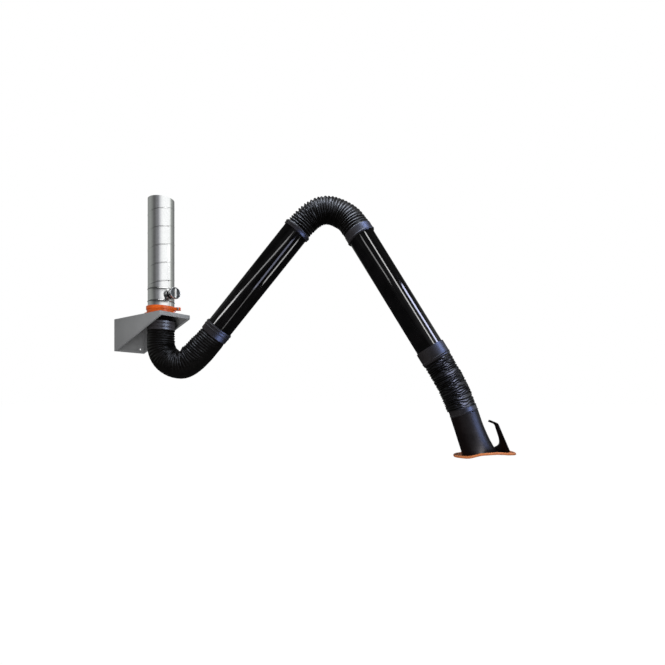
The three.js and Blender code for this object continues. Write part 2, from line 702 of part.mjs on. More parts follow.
// Damper and duct
const housingBottom = coverTop + SEAT;
const housingTop = housingBottom + HOUSING_LENGTH;
const ductBottom = housingTop + SEAT;
const ductTop = ductBottom + DUCT_LENGTH;
const damperZ = housingBottom + DAMPER_LIFT;
const bushBore = DAMPER_SHAFT_RADIUS + HOLE_GAP;
const bushRadius = bushBore + BUSH_WALL;
const bossFace = DUCT_RADIUS + BOSS_DEPTH;
const neckEnd = bossFace + NECK_LENGTH;
const dialStart = neckEnd + BUSH_FLANGE + SEAT + RUNNING_GAP;
const dialEnd = dialStart + DIAL_THICK;
const ductScrewZ = ductBottom + DUCT_SCREW_LIFT;

function beadPoints(middle) {
  return [
    [DUCT_RADIUS, middle - BEAD_HALF_HEIGHT],
    [DUCT_RADIUS + BEAD_PROUD, middle - BEAD_CREST_HALF],
    [DUCT_RADIUS + BEAD_PROUD, middle + BEAD_CREST_HALF],
    [DUCT_RADIUS, middle + BEAD_HALF_HEIGHT],
  ];
}

function damperHousing() {
  const body = turned([
    [ductBore, housingBottom],
    [DUCT_RADIUS, housingBottom],
    ...beadPoints(housingBottom + LOW_BEAD_INSET),
    ...beadPoints(housingTop - HIGH_BEAD_INSET),
    [DUCT_RADIUS, housingTop],
    [ductBore, housingTop],
  ]);
  const reach = DUCT_RADIUS + BEAD_PROUD + CUT_REACH;
  const holes = alongX(rod(bushRadius + SEAT, -reach, reach)).translate(0, 0, damperZ);
  return cut(body, holes);
}

function damperBoss() {
  const solid = turned([
    [bushRadius + SEAT, 0],
    [BOSS_RADIUS, 0],
    [BOSS_RADIUS, bossFace - BOSS_CHAMFER],
    [BOSS_RADIUS - BOSS_CHAMFER, bossFace],
    [NECK_RADIUS, bossFace],
    [NECK_RADIUS, neckEnd],
    [bushRadius + SEAT, neckEnd],
  ]);
  const reach = BOSS_RADIUS + CUT_REACH;
  const saddle = rod(DUCT_RADIUS + SEAT, -reach, reach, 2 * TUBE_SIDES);
  return cut(alongX(solid), saddle).translate(0, 0, damperZ);
}

// A flanged bush along X: its sleeve runs from the flange towards the duct's middle
function damperBush(flangeAt, direction, length) {
  const flangeRadius = bushRadius + BUSH_FLANGE;
  const sleeve = ring(bushBore, bushRadius, -length, BUSH_FLANGE, BOLT_SIDES);
  const flange = ring(bushBore, flangeRadius, SEAT, BUSH_FLANGE, BOLT_SIDES);
  const bush = alongX(joined(sleeve, flange));
  if (direction < 0) {
    bush.rotateZ(Math.PI);
  }
  return bush.translate(flangeAt, 0, damperZ);
}

function damperShaft() {
  const back = -DUCT_RADIUS - BUSH_FLANGE - SHAFT_TAIL;
  const front = dialEnd - SHAFT_SOCKET_FLOOR;
  return alongX(rod(DAMPER_SHAFT_RADIUS, back, front)).translate(0, 0, damperZ);
}

function damperBlade() {
  const face = DAMPER_SHAFT_RADIUS + SEAT;
  const disc = rod(spigotBore - BLADE_GAP, face, face + BLADE_THICK, 2 * TUBE_SIDES);
  return alongY(disc).translate(0, 0, damperZ);
}

function damperDial() {
  const socket = DAMPER_SHAFT_RADIUS + SEAT;
  const dial = turned([
    [socket, dialStart],
    [DIAL_RADIUS - DIAL_BACK_CHAMFER, dialStart],
    [DIAL_RADIUS, dialStart + DIAL_BACK_CHAMFER],
    [DIAL_RADIUS, dialEnd - DIAL_FRONT_CHAMFER],
    [DIAL_RADIUS - DIAL_FRONT_CHAMFER, dialEnd],
    [socket, dialEnd],
  ]);
  return alongX(dial).translate(0, 0, damperZ);
}

function damperGrip() {
  const start = dialEnd + SEAT;
  const end = start + GRIP_DEPTH;
  const half = GRIP_HEIGHT / 2;
  const outline = new THREE.Shape();
  outline.moveTo(start, -half);
  outline.lineTo(end - GRIP_CORNER, -half);
  outline.quadraticCurveTo(end, -half, end, -half + GRIP_CORNER);
  outline.lineTo(end, half - GRIP_CORNER);
  outline.quadraticCurveTo(end, half, end - GRIP_CORNER, half);
  outline.lineTo(start, half);
  outline.closePath();
  return plate(outline, -GRIP_WIDTH / 2, GRIP_WIDTH / 2).translate(0, 0, damperZ);
}

const couplerRadius = ductBore - SEAT;
const couplerBore = couplerRadius - COUPLER_WALL;

function ductScrewHole() {
  const radius = DUCT_SCREW_RADIUS + HOLE_GAP;
  const start = couplerBore * Math.cos(Math.PI / TUBE_SIDES) - CUT_REACH;
  const hole = rod(radius, start, DUCT_RADIUS + CUT_REACH, SCREW_SIDES);
  return alongX(hole).translate(0, 0, ductScrewZ);
}

function ductScrewHoles() {
  return DUCT_SCREW_AZIMUTHS.map((degrees) => ductScrewHole().rotateZ(THREE.MathUtils.degToRad(degrees)));
}

function ductScrew(degrees) {
  const headStart = DUCT_RADIUS + SEAT;
  const headEnd = headStart + DUCT_SCREW_HEAD_HEIGHT;
  const head = rod(DUCT_SCREW_HEAD_RADIUS, headStart, headEnd, SCREW_SIDES);
  const shank = rod(DUCT_SCREW_RADIUS, couplerBore, headStart + LAP, SCREW_SIDES);
  const screw = alongX(joined(head, shank)).translate(0, 0, ductScrewZ);
  return screw.rotateZ(THREE.MathUtils.degToRad(degrees));
}

const ductCoupler = () => cut(
  ring(couplerBore, couplerRadius, housingTop - COUPLER_LAP_BELOW, ductBottom + COUPLER_LAP_ABOVE),
  ...ductScrewHoles(),
);
const spiralDuct = () => cut(ring(ductBore, DUCT_RADIUS, ductBottom, ductTop), ...ductScrewHoles());

// Fixed pieces on the swivel axis
function fixedStack() {
  const stack = new THREE.Group();
  stack.position.set(SWIVEL_X, 0, topZ);
  const ledgeTop = LEDGE_HEIGHT + SEAT;
  const slideRing = ring(collarBore, collarRecess - SEAT, ledgeTop, ledgeTop + SLIDE_RING_THICK);
  const seal = ring(spigotBore, collarRecess - RUNNING_GAP, flangeTop + SEAT, sealTop);
  stack.add(
    mesh('clamp_band', clampBand(), 'orangePaint'),
    mesh('clamp_bolt', clampBolt(), 'steel'),
    mesh('swivel_base', swivelBase(), 'orangePaint'),
    mesh('slide_ring', slideRing, 'whitePlastic'),
    mesh('swivel_seal', seal, 'hoseRubber'),
    mesh('duct_spigot', ductSpigot(), 'orangePaint'),
    mesh('damper_housing', damperHousing(), 'galvanised'),
    mesh('damper_boss', damperBoss(), 'galvanised'),
    mesh('damper_bush_front', damperBush(neckEnd, 1, FRONT_BUSH_LENGTH), 'whitePlastic'),
    mesh('damper_bush_back', damperBush(-DUCT_RADIUS, -1, BACK_BUSH_LENGTH), 'whitePlastic'),
    mesh('duct_coupler', ductCoupler(), 'galvanised'),
    mesh('spiral_duct', spiralDuct(), 'galvanised'),
    mesh('damper_shaft', damperShaft(), 'steel'),
    mesh('damper_blade', damperBlade(), 'galvanised'),
    mesh('damper_dial', damperDial(), 'darkPlastic'),
    mesh('damper_grip', damperGrip(), 'whitePlastic'),
  );
  baseScrewPlaces().forEach(([x, y], k) => {
    stack.add(mesh(`base_screw_${k + 1}`, baseScrew().translate(x, y, 0), 'steel'));
  });
  DUCT_SCREW_AZIMUTHS.forEach((degrees, k) => {
    stack.add(mesh(`duct_screw_${k + 1}`, ductScrew(degrees), 'steel'));
  });
  return stack;
}

// Turning part of the swivel, with the fork of the lower hinge
function swivelPieces() {
  const group = new THREE.Group();
  const tube = turned([
    [swivelBore, -swivelTubeDrop],
    [SWIVEL_TUBE_RADIUS, -swivelTubeDrop],
    [SWIVEL_TUBE_RADIUS, flangeBottom],
    [swivelFlangeRadius, flangeBottom],
    [swivelFlangeRadius, flangeTop],
    [swivelBore, flangeTop],
  ]);
  const cuffBottom = -SWIVEL_CUFF_START - SWIVEL_CUFF_LENGTH;
  const swivelCuff = cuff(SWIVEL_TUBE_RADIUS + SEAT, cuffBottom, -SWIVEL_CUFF_START, [0.3, 0.7]);
  const web = {
    halfWidth: webHalfWidth(swivelBore, forkEnd),
    start: -swivelTubeDrop + WEB_INSET,
    end: -swivelTubeDrop + WEB_INSET + WEB_LENGTH,
  };
  const knee = lowerPath.onArc(KNEE_TURN).point;
  group.add(
    mesh('swivel_tube', tube, 'blackTube'),
    mesh('swivel_cuff', swivelCuff, 'cuffRubber'),
    mesh('swivel_fork_near', link(web, knee, lowerPivot, -forkEnd, -forkStart), 'steel'),
    mesh('swivel_fork_far', link(web, knee, lowerPivot, forkStart, forkEnd), 'steel'),
    hingeHardware('lower', lowerPivot),
  );
  return group;
}

const tubeBore = TUBE_RADIUS - TUBE_WALL;
const cuffBore = TUBE_RADIUS + SEAT;

// Inner tube, from the lower hinge's blade to the elbow's fork
function innerArmPieces() {
  const frame = frameAt(innerOrigin, INNER_SLOPE);
  const local = (point) => toFrame(point, innerOrigin, INNER_SLOPE);
  const elbow = local(elbowPivot);
  const lowWeb = {
    halfWidth: webHalfWidth(tubeBore, bladeFace),
    start: INNER_TUBE_START + WEB_INSET,
    end: INNER_TUBE_START + WEB_INSET + WEB_LENGTH,
  };
  const highWeb = {
    halfWidth: webHalfWidth(tubeBore, forkEnd),
    start: innerTubeEnd - WEB_INSET - WEB_LENGTH,
    end: innerTubeEnd - WEB_INSET,
  };
  const lowKnee = local(lowerPath.onArc(lowerPath.turn - KNEE_TURN).point);
  const highKnee = local(elbowPath.onArc(KNEE_TURN).point);
  const lowPivot = local(lowerPivot);
  const lowCuff = cuff(cuffBore, innerLowCuffEnd, INNER_TUBE_START + INNER_LOW_CUFF_LAP, [0.55, 0.85]);
  const highCuff = cuff(cuffBore, innerTubeEnd - INNER_HIGH_CUFF_LAP, innerHighCuffEnd, [0.7]);
  frame.add(
    mesh('inner_tube', ring(tubeBore, TUBE_RADIUS, INNER_TUBE_START, innerTubeEnd), 'blackTube'),
    mesh('inner_cuff_low', lowCuff, 'cuffRubber'),
    mesh('inner_cuff_high', highCuff, 'cuffRubber'),
    mesh('lower_hinge_blade', link(lowWeb, lowKnee, lowPivot, -bladeFace, bladeFace), 'steel'),
    mesh('elbow_fork_near', link(highWeb, highKnee, elbow, -forkEnd, -forkStart), 'steel'),
    mesh('elbow_fork_far', link(highWeb, highKnee, elbow, forkStart, forkEnd), 'steel'),
    hingeHardware('elbow', elbow),
  );
  return frame;
}

// A U-shaped yoke: a bar across a bore at z = barAt and two straps with pin holes about the origin
function yoke(bore, barAt) {
  const barSide = Math.sign(barAt);
  const barHalf = webHalfWidth(bore, YOKE_BAR_HALF_WIDTH);
  const strapEnd = YOKE_GAP + YOKE_STRAP_THICK;
  const barFar = barAt + barSide * YOKE_BAR_THICK;
  const barLow = Math.min(barAt, barFar);
  const barHigh = Math.max(barAt, barFar);
  const strapLow = Math.min(-barSide * YOKE_END, barFar);
  const strapHigh = Math.max(-barSide * YOKE_END, barFar);
  const wide = YOKE_STRAP_HALF_WIDTH;
  const body = joined(
    box(-YOKE_BAR_HALF_WIDTH, YOKE_BAR_HALF_WIDTH, -barHalf, barHalf, barLow, barHigh),
    box(-wide, wide, YOKE_GAP, strapEnd, strapLow, strapHigh),
    box(-wide, wide, -strapEnd, -YOKE_GAP, strapLow, strapHigh),
  );
  const holeEnd = strapEnd + CUT_REACH;
  return cut(body, alongY(rod(CROSS_PIN_RADIUS + HOLE_GAP, -holeEnd, holeEnd)));
}

// Outer tube, from the elbow's blade to the hood joint's upper yoke
function outerArmPieces() {
  const frame = frameAt(outerOrigin, OUTER_SLOPE);
  const local = (point) => toFrame(point, outerOrigin, OUTER_SLOPE);
  const web = {
    halfWidth: webHalfWidth(tubeBore, bladeFace),
    start: OUTER_TUBE_START + WEB_INSET,
    end: OUTER_TUBE_START + WEB_INSET + WEB_LENGTH,
  };
  const knee = local(elbowPath.onArc(elbowPath.turn - KNEE_TURN).point);
  const highCuff = cuff(cuffBore, outerHighCuffEnd, OUTER_TUBE_START + OUTER_HIGH_CUFF_LAP, [0.85]);
  const lowCuff = cuff(cuffBore, outerTubeEnd - OUTER_LOW_CUFF_LAP, outerLowCuffEnd, [0.85]);
  const yokeBarAt = outerTubeEnd - UPPER_YOKE_INSET - hoodReach;
  const upperYoke = yoke(tubeBore, yokeBarAt).translate(0, 0, hoodReach);
  frame.add(
    mesh('outer_tube', ring(tubeBore, TUBE_RADIUS, OUTER_TUBE_START, outerTubeEnd), 'blackTube'),
    mesh('outer_cuff_high', highCuff, 'cuffRubber'),
    mesh('outer_cuff_low', lowCuff, 'cuffRubber'),
    mesh('elbow_blade', link(web, knee, local(elbowPivot), -bladeFace, bladeFace), 'steel'),
    mesh('hood_yoke_upper', upperYoke, 'steel'),
  );
  return frame;
}

// Hood joint: a cross between two yokes, and the ring that the hood turns on
function hoodCross() {
  const pinEnd = YOKE_GAP + YOKE_STRAP_THICK;
  return joined(
    box(-CROSS_HALF, CROSS_HALF, -CROSS_HALF, CROSS_HALF, -CROSS_HALF, CROSS_HALF),
    alongX(rod(CROSS_PIN_RADIUS, -pinEnd, pinEnd)),
    alongY(rod(CROSS_PIN_RADIUS, -pinEnd, pinEnd)),
  );
}

const carrierBore = CARRIER_RADIUS - CARRIER_WALL;
const carrierFlangeTop = HOOD_START + HOOD_LIP_THICK + SEAT;
const carrierFlangeRadius = CARRIER_RADIUS + CARRIER_FLANGE_WIDTH;

function hoodCarrierRing() {
  const end = carrierFlangeTop + CARRIER_FLANGE_THICK;
  return turned([
    [carrierBore, carrierStart],
    [CARRIER_RADIUS, carrierStart],
    [CARRIER_RADIUS, carrierFlangeTop],
    [carrierFlangeRadius, carrierFlangeTop],
    [carrierFlangeRadius, end],
    [carrierBore, end],
  ]);
}

// The hood's stations from its neck to its mouth, and the outline of its rim
function flareStation({ leftDown, rightDown, leftOut, rightOut, wide, saddle }) {
  const { lerp } = THREE.MathUtils;
  return {
    left: [-lerp(HOOD_NECK_RADIUS, MOUTH_LEFT_REACH, leftOut), leftDown * MOUTH_LEFT_DEPTH],
    right: [lerp(HOOD_NECK_RADIUS, MOUTH_RIGHT_REACH, rightOut), rightDown * MOUTH_RIGHT_DEPTH],
    halfWidth: lerp(HOOD_NECK_RADIUS, MOUTH_HALF_WIDTH, wide),
    saddle: saddle * MOUTH_SADDLE_HEIGHT,
  };
}

const hoodStations = HOOD_FLARE.map(flareStation);
const rimOutline = {
  left: [-RIM_LEFT_REACH, RIM_LEFT_DEPTH],
  right: [RIM_RIGHT_REACH, RIM_RIGHT_DEPTH],
  halfWidth: RIM_HALF_WIDTH,
  saddle: RIM_SADDLE_HEIGHT,
};

// A point of the hood's wall: the outline of one station, drawn in by the inset
function hoodPoint(station, angle, inset) {
  const [leftX, leftZ] = station.left;
  const [rightX, rightZ] = station.right;
  const half = (rightX - leftX) / 2 - inset;
  const x = (leftX + rightX) / 2 + half * Math.cos(angle);
  const y = (station.halfWidth - inset) * Math.sin(angle);
  const tilt = ((rightZ - leftZ) / 2) * Math.cos(angle);
  const z = (leftZ + rightZ) / 2 + tilt - station.saddle * Math.sin(angle) ** 2;
  return new THREE.Vector3(x, y, HOOD_START + z);
}

function hoodRow(station, inset) {
  const points = [];
  for (let k = 0; k < HOOD_SIDES; k += 1) {
    points.push(hoodPoint(station, (k / HOOD_SIDES) * 2 * Math.PI, inset));
  }
  return points;
}

function hoodShell() {
  const outside = hoodStations.map((station) => hoodRow(station, 0));
  const inside = hoodStations.map((station) => hoodRow(station, HOOD_WALL)).reverse();
  const wall = loopedSurface([...outside, ...inside]);
  const lipOuter = HOOD_NECK_RADIUS - HOOD_WALL + LAP;
  const lip = ring(CARRIER_RADIUS + RUNNING_GAP, lipOuter, HOOD_START, HOOD_START + HOOD_LIP_THICK);
  return joined(wall, lip);
}

// The hood as one filled block, a little oversize, to seat other pieces on its wall
function hoodBlock() {
  const rows = hoodStations.map((station) => hoodRow(station, -SEAT));
  const sunk = rows.at(-1).map(({ x, y, z }) => new THREE.Vector3(x, y, z + BLOCK_SINK_DEPTH));
  const middle = (row) => {
    const centre = row.reduce((sum, point) => sum.add(point), new THREE.Vector3());
    return row.map(() => centre.clone().divideScalar(row.length));
  };
  const capped = [...rows, sunk, middle(sunk), middle(rows[0])];
  return loopedSurface(capped);
}

// The soft rim: a flange round the hood's mouth with a thick outer lip
function hoodRim() {
  const mouth = hoodStations.at(-1);
  const rows = [];
  for (let k = 0; k < RIM_SIDES; k += 1) {
    const angle = (k / RIM_SIDES) * 2 * Math.PI;
    const root = hoodPoint(mouth, angle, -RUNNING_GAP);
    const edge = hoodPoint(rimOutline, angle, 0);
    const section = [
      [0, -RIM_ROOT_HALF_THICK],
      [0, RIM_ROOT_HALF_THICK],
      [RIM_WEB_SHARE, RIM_ROOT_HALF_THICK],
      [RIM_LIP_SHARE, RIM_LIP_HALF_THICK],
      [1, RIM_LIP_HALF_THICK / 2],
      [1, -RIM_LIP_HALF_THICK / 2],
      [RIM_LIP_SHARE, -RIM_LIP_HALF_THICK],
      [RIM_WEB_SHARE, -RIM_ROOT_HALF_THICK],
    ];
    rows.push(section.map(([share, lift]) => {
      const point = root.clone().lerp(edge, share);
      point.z += lift;
      return point;
    }));
  }
  return loopedSurface(rows);
}

// The hook-shaped handle, standing on the hood's flare, drawn from its foot up and back down
function hoodHandle() {
  const inner = HANDLE_REACH - HANDLE_THICK;
  const foot = new THREE.Vector2(HANDLE_REACH + HANDLE_SPREAD, HANDLE_FOOT);
  const corner = new THREE.Vector2(HANDLE_REACH, HANDLE_SHOULDER);
  const tip = new THREE.Vector2(HANDLE_TIP_REACH, HANDLE_TIP);
  const hook = corner.clone().sub(tip).normalize();
  const tipBelow = tip.clone().add(new THREE.Vector2(-hook.y, hook.x).multiplyScalar(HANDLE_TIP_WIDTH));
  const innerCorner = new THREE.Vector2(inner, tipBelow.y + ((inner - tipBelow.x) * hook.y) / hook.x);
  const gapFoot = (HANDLE_SHOULDER + 3 * HANDLE_CROTCH) / 4;
  const root = HANDLE_ROOT_REACH;
  const outline = new THREE.Shape();
  const roundCorner = (from, middle, to) => {
    const before = from.clone().sub(middle).setLength(HANDLE_BEND_RADIUS).add(middle);
    const after = to.clone().sub(middle).setLength(HANDLE_BEND_RADIUS).add(middle);
    outline.lineTo(before.x, before.y);
    outline.quadraticCurveTo(middle.x, middle.y, after.x, after.y);
  };
  outline.moveTo(foot.x, foot.y);
  roundCorner(foot, corner, tip);
  outline.lineTo(tip.x, tip.y);
  outline.lineTo(tipBelow.x, tipBelow.y);
  roundCorner(tipBelow, innerCorner, new THREE.Vector2(inner, gapFoot));
  outline.lineTo(inner, (HANDLE_SHOULDER + HANDLE_CROTCH) / 2);
  outline.quadraticCurveTo(inner, gapFoot, inner - HANDLE_SPREAD / 2, (gapFoot + HANDLE_CROTCH) / 2);
  outline.quadraticCurveTo(inner - HANDLE_SPREAD, HANDLE_CROTCH, root, HANDLE_CROTCH);
  outline.lineTo(root, HANDLE_CROTCH + HANDLE_ROOT_DEPTH);
  outline.lineTo(inner, HANDLE_FOOT);
  outline.closePath();
  const grip = plate(outline, -HANDLE_HALF_WIDTH, HANDLE_HALF_WIDTH).translate(0, 0, HOOD_START);
  return cut(grip, hoodBlock());
}

function hoodPieces() {
  const frame = frameAt(hoodJoint, HOOD_SLOPE);
  const facing = new THREE.Group();
  facing.rotation.z = Math.PI;
  const lowerYoke = yoke(carrierBore, carrierStart + LOWER_YOKE_INSET).rotateZ(Math.PI / 2);
  const hoodCuff = cuff(CARRIER_RADIUS + SEAT, hoodCuffStart, hoodCuffEnd, [0.8]);
  facing.add(
    mesh('hood_yoke_lower', lowerYoke, 'steel'),
    mesh('hood_carrier_ring', hoodCarrierRing(), 'steel'),
    mesh('hood_cuff', hoodCuff, 'cuffRubber'),
    mesh('hood_shell', hoodShell(), 'hoodPlastic'),
    mesh('hood_rim', hoodRim(), 'orangeRubber'),
    mesh('hood_handle', hoodHandle(), 'hoodPlastic'),
    mesh('hood_cross', hoodCross(), 'steel'),
  );
  frame.add(facing);
  return frame;
}

// Everything that swings, in the arm's plane
function arm() {
  const plane = new THREE.Group();
  plane.position.set(SWIVEL_X, 0, topZ);
  plane.rotation.z = ARM_AZIMUTH;
  plane.add(
    swivelPieces(),
    innerArmPieces(),
    outerArmPieces(),
    hoodPieces(),
    mesh('lower_hose', hose(lowerPath, LOWER_HOSE_RIBS), 'hoseRubber'),
    mesh('elbow_hose', hose(elbowPath, ELBOW_HOSE_RIBS), 'hoseRubber'),
    mesh('hood_hose', hose(hoodPath, HOOD_HOSE_RIBS), 'hoseRubber'),
  );
  return plane;
}

const fumeArm = new THREE.Group();
fumeArm.add(
  mesh('wall_plate', wallPlate(), 'greyPaint'),
  mesh('console_shell', consoleShell(), 'greyPaint'),
  fixedStack(),
  arm(),
);

export default fumeArm;
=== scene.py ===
"""Looks of a wall-mounted fume extraction arm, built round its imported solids. Metres, +Z up."""
import json
import math

import bmesh
import bpy
import numpy as np
from mathutils import Matrix, Vector
from mathutils.bvhtree import BVHTree


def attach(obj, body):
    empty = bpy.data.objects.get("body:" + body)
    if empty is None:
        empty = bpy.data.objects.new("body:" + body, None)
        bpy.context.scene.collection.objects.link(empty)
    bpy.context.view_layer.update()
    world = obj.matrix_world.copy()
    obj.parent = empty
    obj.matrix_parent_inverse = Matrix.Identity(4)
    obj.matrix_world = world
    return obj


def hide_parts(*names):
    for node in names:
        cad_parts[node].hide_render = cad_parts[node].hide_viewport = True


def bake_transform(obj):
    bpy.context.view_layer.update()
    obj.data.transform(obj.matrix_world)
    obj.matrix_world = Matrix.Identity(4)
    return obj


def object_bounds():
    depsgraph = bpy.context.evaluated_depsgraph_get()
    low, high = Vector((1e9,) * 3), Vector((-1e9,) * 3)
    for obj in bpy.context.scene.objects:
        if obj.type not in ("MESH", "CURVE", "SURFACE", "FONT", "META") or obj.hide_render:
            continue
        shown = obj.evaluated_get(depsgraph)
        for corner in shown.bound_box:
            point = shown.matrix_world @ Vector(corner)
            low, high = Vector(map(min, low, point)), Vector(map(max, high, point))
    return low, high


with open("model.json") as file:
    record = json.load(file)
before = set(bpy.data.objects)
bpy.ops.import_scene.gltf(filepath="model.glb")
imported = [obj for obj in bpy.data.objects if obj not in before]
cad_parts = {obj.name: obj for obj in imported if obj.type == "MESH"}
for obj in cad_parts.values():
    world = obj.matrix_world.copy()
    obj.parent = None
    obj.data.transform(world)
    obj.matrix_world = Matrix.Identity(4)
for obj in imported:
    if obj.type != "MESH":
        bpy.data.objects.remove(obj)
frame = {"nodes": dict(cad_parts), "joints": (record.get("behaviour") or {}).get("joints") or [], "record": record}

CAD_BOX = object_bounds()
RECORD = frame["record"]
NODE_BODY = {node: body for body, nodes in RECORD["behaviour"]["bodies"].items() for node in nodes}
NODE_SLOT = {row["node"]: row["material_slot"] for row in RECORD["subparts"]}
JOINTS = {row["name"]: row for row in frame["joints"]}
MM = 0.001

# Facets
ROUND_SIDES = 96
DIAL_SIDES = 48
FILLET_STEPS = 4
EDGE_STEPS = 2
SHARP_ANGLE = math.radians(38)
FLAT_ANGLE = math.radians(1)
MERGE_DISTANCE = 1e-6
LARGEST_CUT = 0.49  # of a side, by the fillet at its end

# Edge rounding of the pieces that keep the form of their solids
BRACKET_ROUNDING = {
    "console_shell": 1.6 * MM,
    "wall_plate": 1.0 * MM,
    "clamp_band": 0.8 * MM,
    "clamp_bolt": 0.8 * MM,
    "swivel_base": 0.7 * MM,
    "duct_spigot": 0.7 * MM,
}
BOSS_ROUNDING = 0.8 * MM
HANDLE_ROUNDING = 1.4 * MM
TUBE_EDGE = 0.5 * MM

# Camera, fitted to the photograph's frame of 665 by 665 pixels
FRAME_PIXELS = 665
FOCAL_PIXELS = 453
HORIZON_ROW = 400.2
SENSOR = 36.0
CAMERA_PLACE = Vector((2.9627, -1.6867, -0.4335))
CAMERA_HEADING = Vector((-0.5906, 0.8070, 0.0))

# Stage
FLOOR_HEIGHT = -2.15
FLOOR_SIZE = 400.0
FLOOR_GLOW = 1.075
FLOOR_GLOW_SHARE = 0.92
FLOOR_GREY = 0.9
FLOOR_GREY_IN_GLOSS = 0.15

# Spiral duct
SEAM_PITCH = 113 * MM
SEAM_HALF_WIDTH = 4.5 * MM
SEAM_PROUD = 0.7 * MM
SEAM_START = 0.085  # of a turn, at the duct's lower end
SEAM_STEPS = 4
SEAM_ROUNDNESS = 1.2
SEAM_FOOT = 1.5 * SEAM_HALF_WIDTH
SPARE_TURNS = 2  # wound past each end before the ends are cut
DUCT_WALL = 1.2 * MM

# Damper housing's beads: up from its lower end and down from its upper end
BEAD_PROUD = 2.5 * MM
BEAD_HALF_WIDTH = 4 * MM
BEAD_STEPS = 10
LOW_BEAD_UP = 31 * MM
HIGH_BEAD_DOWN = 7 * MM

# Damper dial and the bar across it
DIAL_RING = 3.5 * MM
DIAL_RECESS = 3.5 * MM
DIAL_CHAMFER = 3 * MM
DIAL_SOFTNESS = 1.2 * MM
DIAL_CORE = 1 * MM
GRIP_HALF_LENGTH = 29 * MM
GRIP_HALF_WIDTH = 4 * MM
GRIP_RISE = 5 * MM
GRIP_END_ROUNDNESS = 0.35
GRIP_SIDE_ROUNDNESS = 0.7
GRIP_TOP = 0.8  # of its outline
GRIP_CORE = 0.1  # of its outline

# Cuffs
CUFF_STEPS = 72
CUFF_EDGE = 2.5 * MM
RIDGE_RISE = 3 * MM
RIDGE_ROUNDNESS = 1.5

# Hoses: bend radii and rib counts of the photographed arm
LOWER_BEND_RADIUS = 135 * MM
ELBOW_BEND_RADIUS = 184 * MM
HOOD_BEND_RADIUS = 600 * MM
LOWER_HOSE_RIBS = 36
ELBOW_HOSE_RIBS = 28
HOOD_HOSE_RIBS = 22
HOSE_CREST = 83 * MM
HOSE_BORE = 68 * MM
HOSE_SIDES = 112
ROWS_PER_RIB = 10
HOSE_SEAT_GAP = 0.3 * MM
HOSE_END_FADE = 6 * MM
# Sag towards the inside of the bend and swell of the radius, in mm at shares of the length
LOWER_SAG = [(0, 0), (0.1, 1), (0.35, -2), (0.5, -4), (0.66, 13), (0.8, 6), (0.95, 1), (1, 0)]
LOWER_SWELL = [(0, 0), (0.1, 2), (0.35, 7), (0.5, 5), (0.66, 9), (0.8, 8), (0.95, 4), (1, 0)]
ELBOW_SAG = [(0, 0), (0.2, 6), (0.42, 3), (0.68, 11), (0.9, 4), (1, 0)]
ELBOW_SWELL = [(0, 0), (0.7, 0), (0.95, 3), (1, 3)]
HOOD_SAG = [(0, 0), (0.3, 2), (0.75, 7), (0.95, 6), (1, 3)]
HOOD_SWELL = [(0, 3), (0.2, 3), (0.75, 4), (0.95, 4), (1, 2)]

# Hood: the neck and the mouth, across and down from the neck's top, in millimetres
NECK_RADIUS = 81
MOUTH_LEFT = (-84, 228)
MOUTH_RIGHT = (150, 286)
MOUTH_HALF_WIDTH = 108
MOUTH_SADDLE = 14
# Shares of the way from the neck to the mouth: down left and right, out left and right, wide, saddle
HOOD_FLARE = [
    (0, 0, 0, 0, 0, 0),
    (0.35, 0.3, 0, 0.015, 0, 0),
    (0.57, 0.52, 0.17, 0.09, 0.11, 0.07),
    (0.77, 0.695, 0.33, 0.19, 0.3, 0.27),
    (0.9, 0.853, 0.5, 0.377, 0.59, 0.6),
    (1, 1, 1, 1, 1, 1),
]
RIM_LEFT = (-133, 213)
RIM_RIGHT = (204, 299)
RIM_HALF_WIDTH = 150
RIM_SADDLE = 14
HOOD_WALL = 2.5
HOOD_LIP_RADIUS = 74.5
HOOD_LIP_THICK = 4.3
FLARE_STEPS = 8
RIM_STEPS = 26
RIM_ROOT_INSET = 1.2
RIM_ROOT_DROP = 1.4
RIM_WEB_HALF = 4
RIM_LIP_HALF = 7.5
# Shares of the way out over the rim: where its lip starts to swell, how long it swells, where it rounds off
RIM_SWELL_START = 0.62
RIM_SWELL_LENGTH = 0.26
RIM_ROUND_START = 0.86
RIM_ROOT_SHARE = 0.25  # of the web's thickness
RIM_ROOT_GROWTH = 2.5
# Rise of the rim's edge in mm at places across it, from -1 at its left end to 1 at its right
RIM_WAVE = [(-1, 0), (-0.65, -8), (-0.15, 6), (0.33, 8), (0.75, 2), (1, 0)]
HANDLE_FOOT_REACH = 7 * MM
HANDLE_FOOT_BITE = 2.4 * MM


# Frames on the solids
def cloud(node):
    """A solid's vertices as an array."""
    return np.array([vertex.co for vertex in frame["nodes"][node].data.vertices], float)


def place(origin, across, along):
    """A frame with x across, z along and y square to both."""
    z = Vector(along).normalized()
    y = z.cross(Vector(across)).normalized()
    x = y.cross(z)
    return Matrix.Translation(Vector(origin)) @ Matrix((x, y, z)).transposed().to_4x4()


def aimed(direction, goal):
    """A direction, turned round where it points away from a goal."""
    return -direction if direction.dot(goal) < 0 else direction


def tube_place(node, towards):
    """The frame on a long tube's axis: z runs towards a point, y is square to the arm's plane."""
    points = cloud(node)
    centre = points.mean(axis=0)
    along = aimed(Vector(np.linalg.svd(points - centre)[2][0]), towards - Vector(centre))
    return place(centre, ARM_NORMAL.cross(along), along)


def span(node, where):
    """Lowest and highest z and least and greatest radius of a turned solid, in its frame."""
    points = cloud(node)
    x, y, z, _ = np.array(where.inverted()) @ np.c_[points, np.ones(len(points))].T
    radius = np.hypot(x, y)
    return z.min(), z.max(), radius.min(), radius.max()


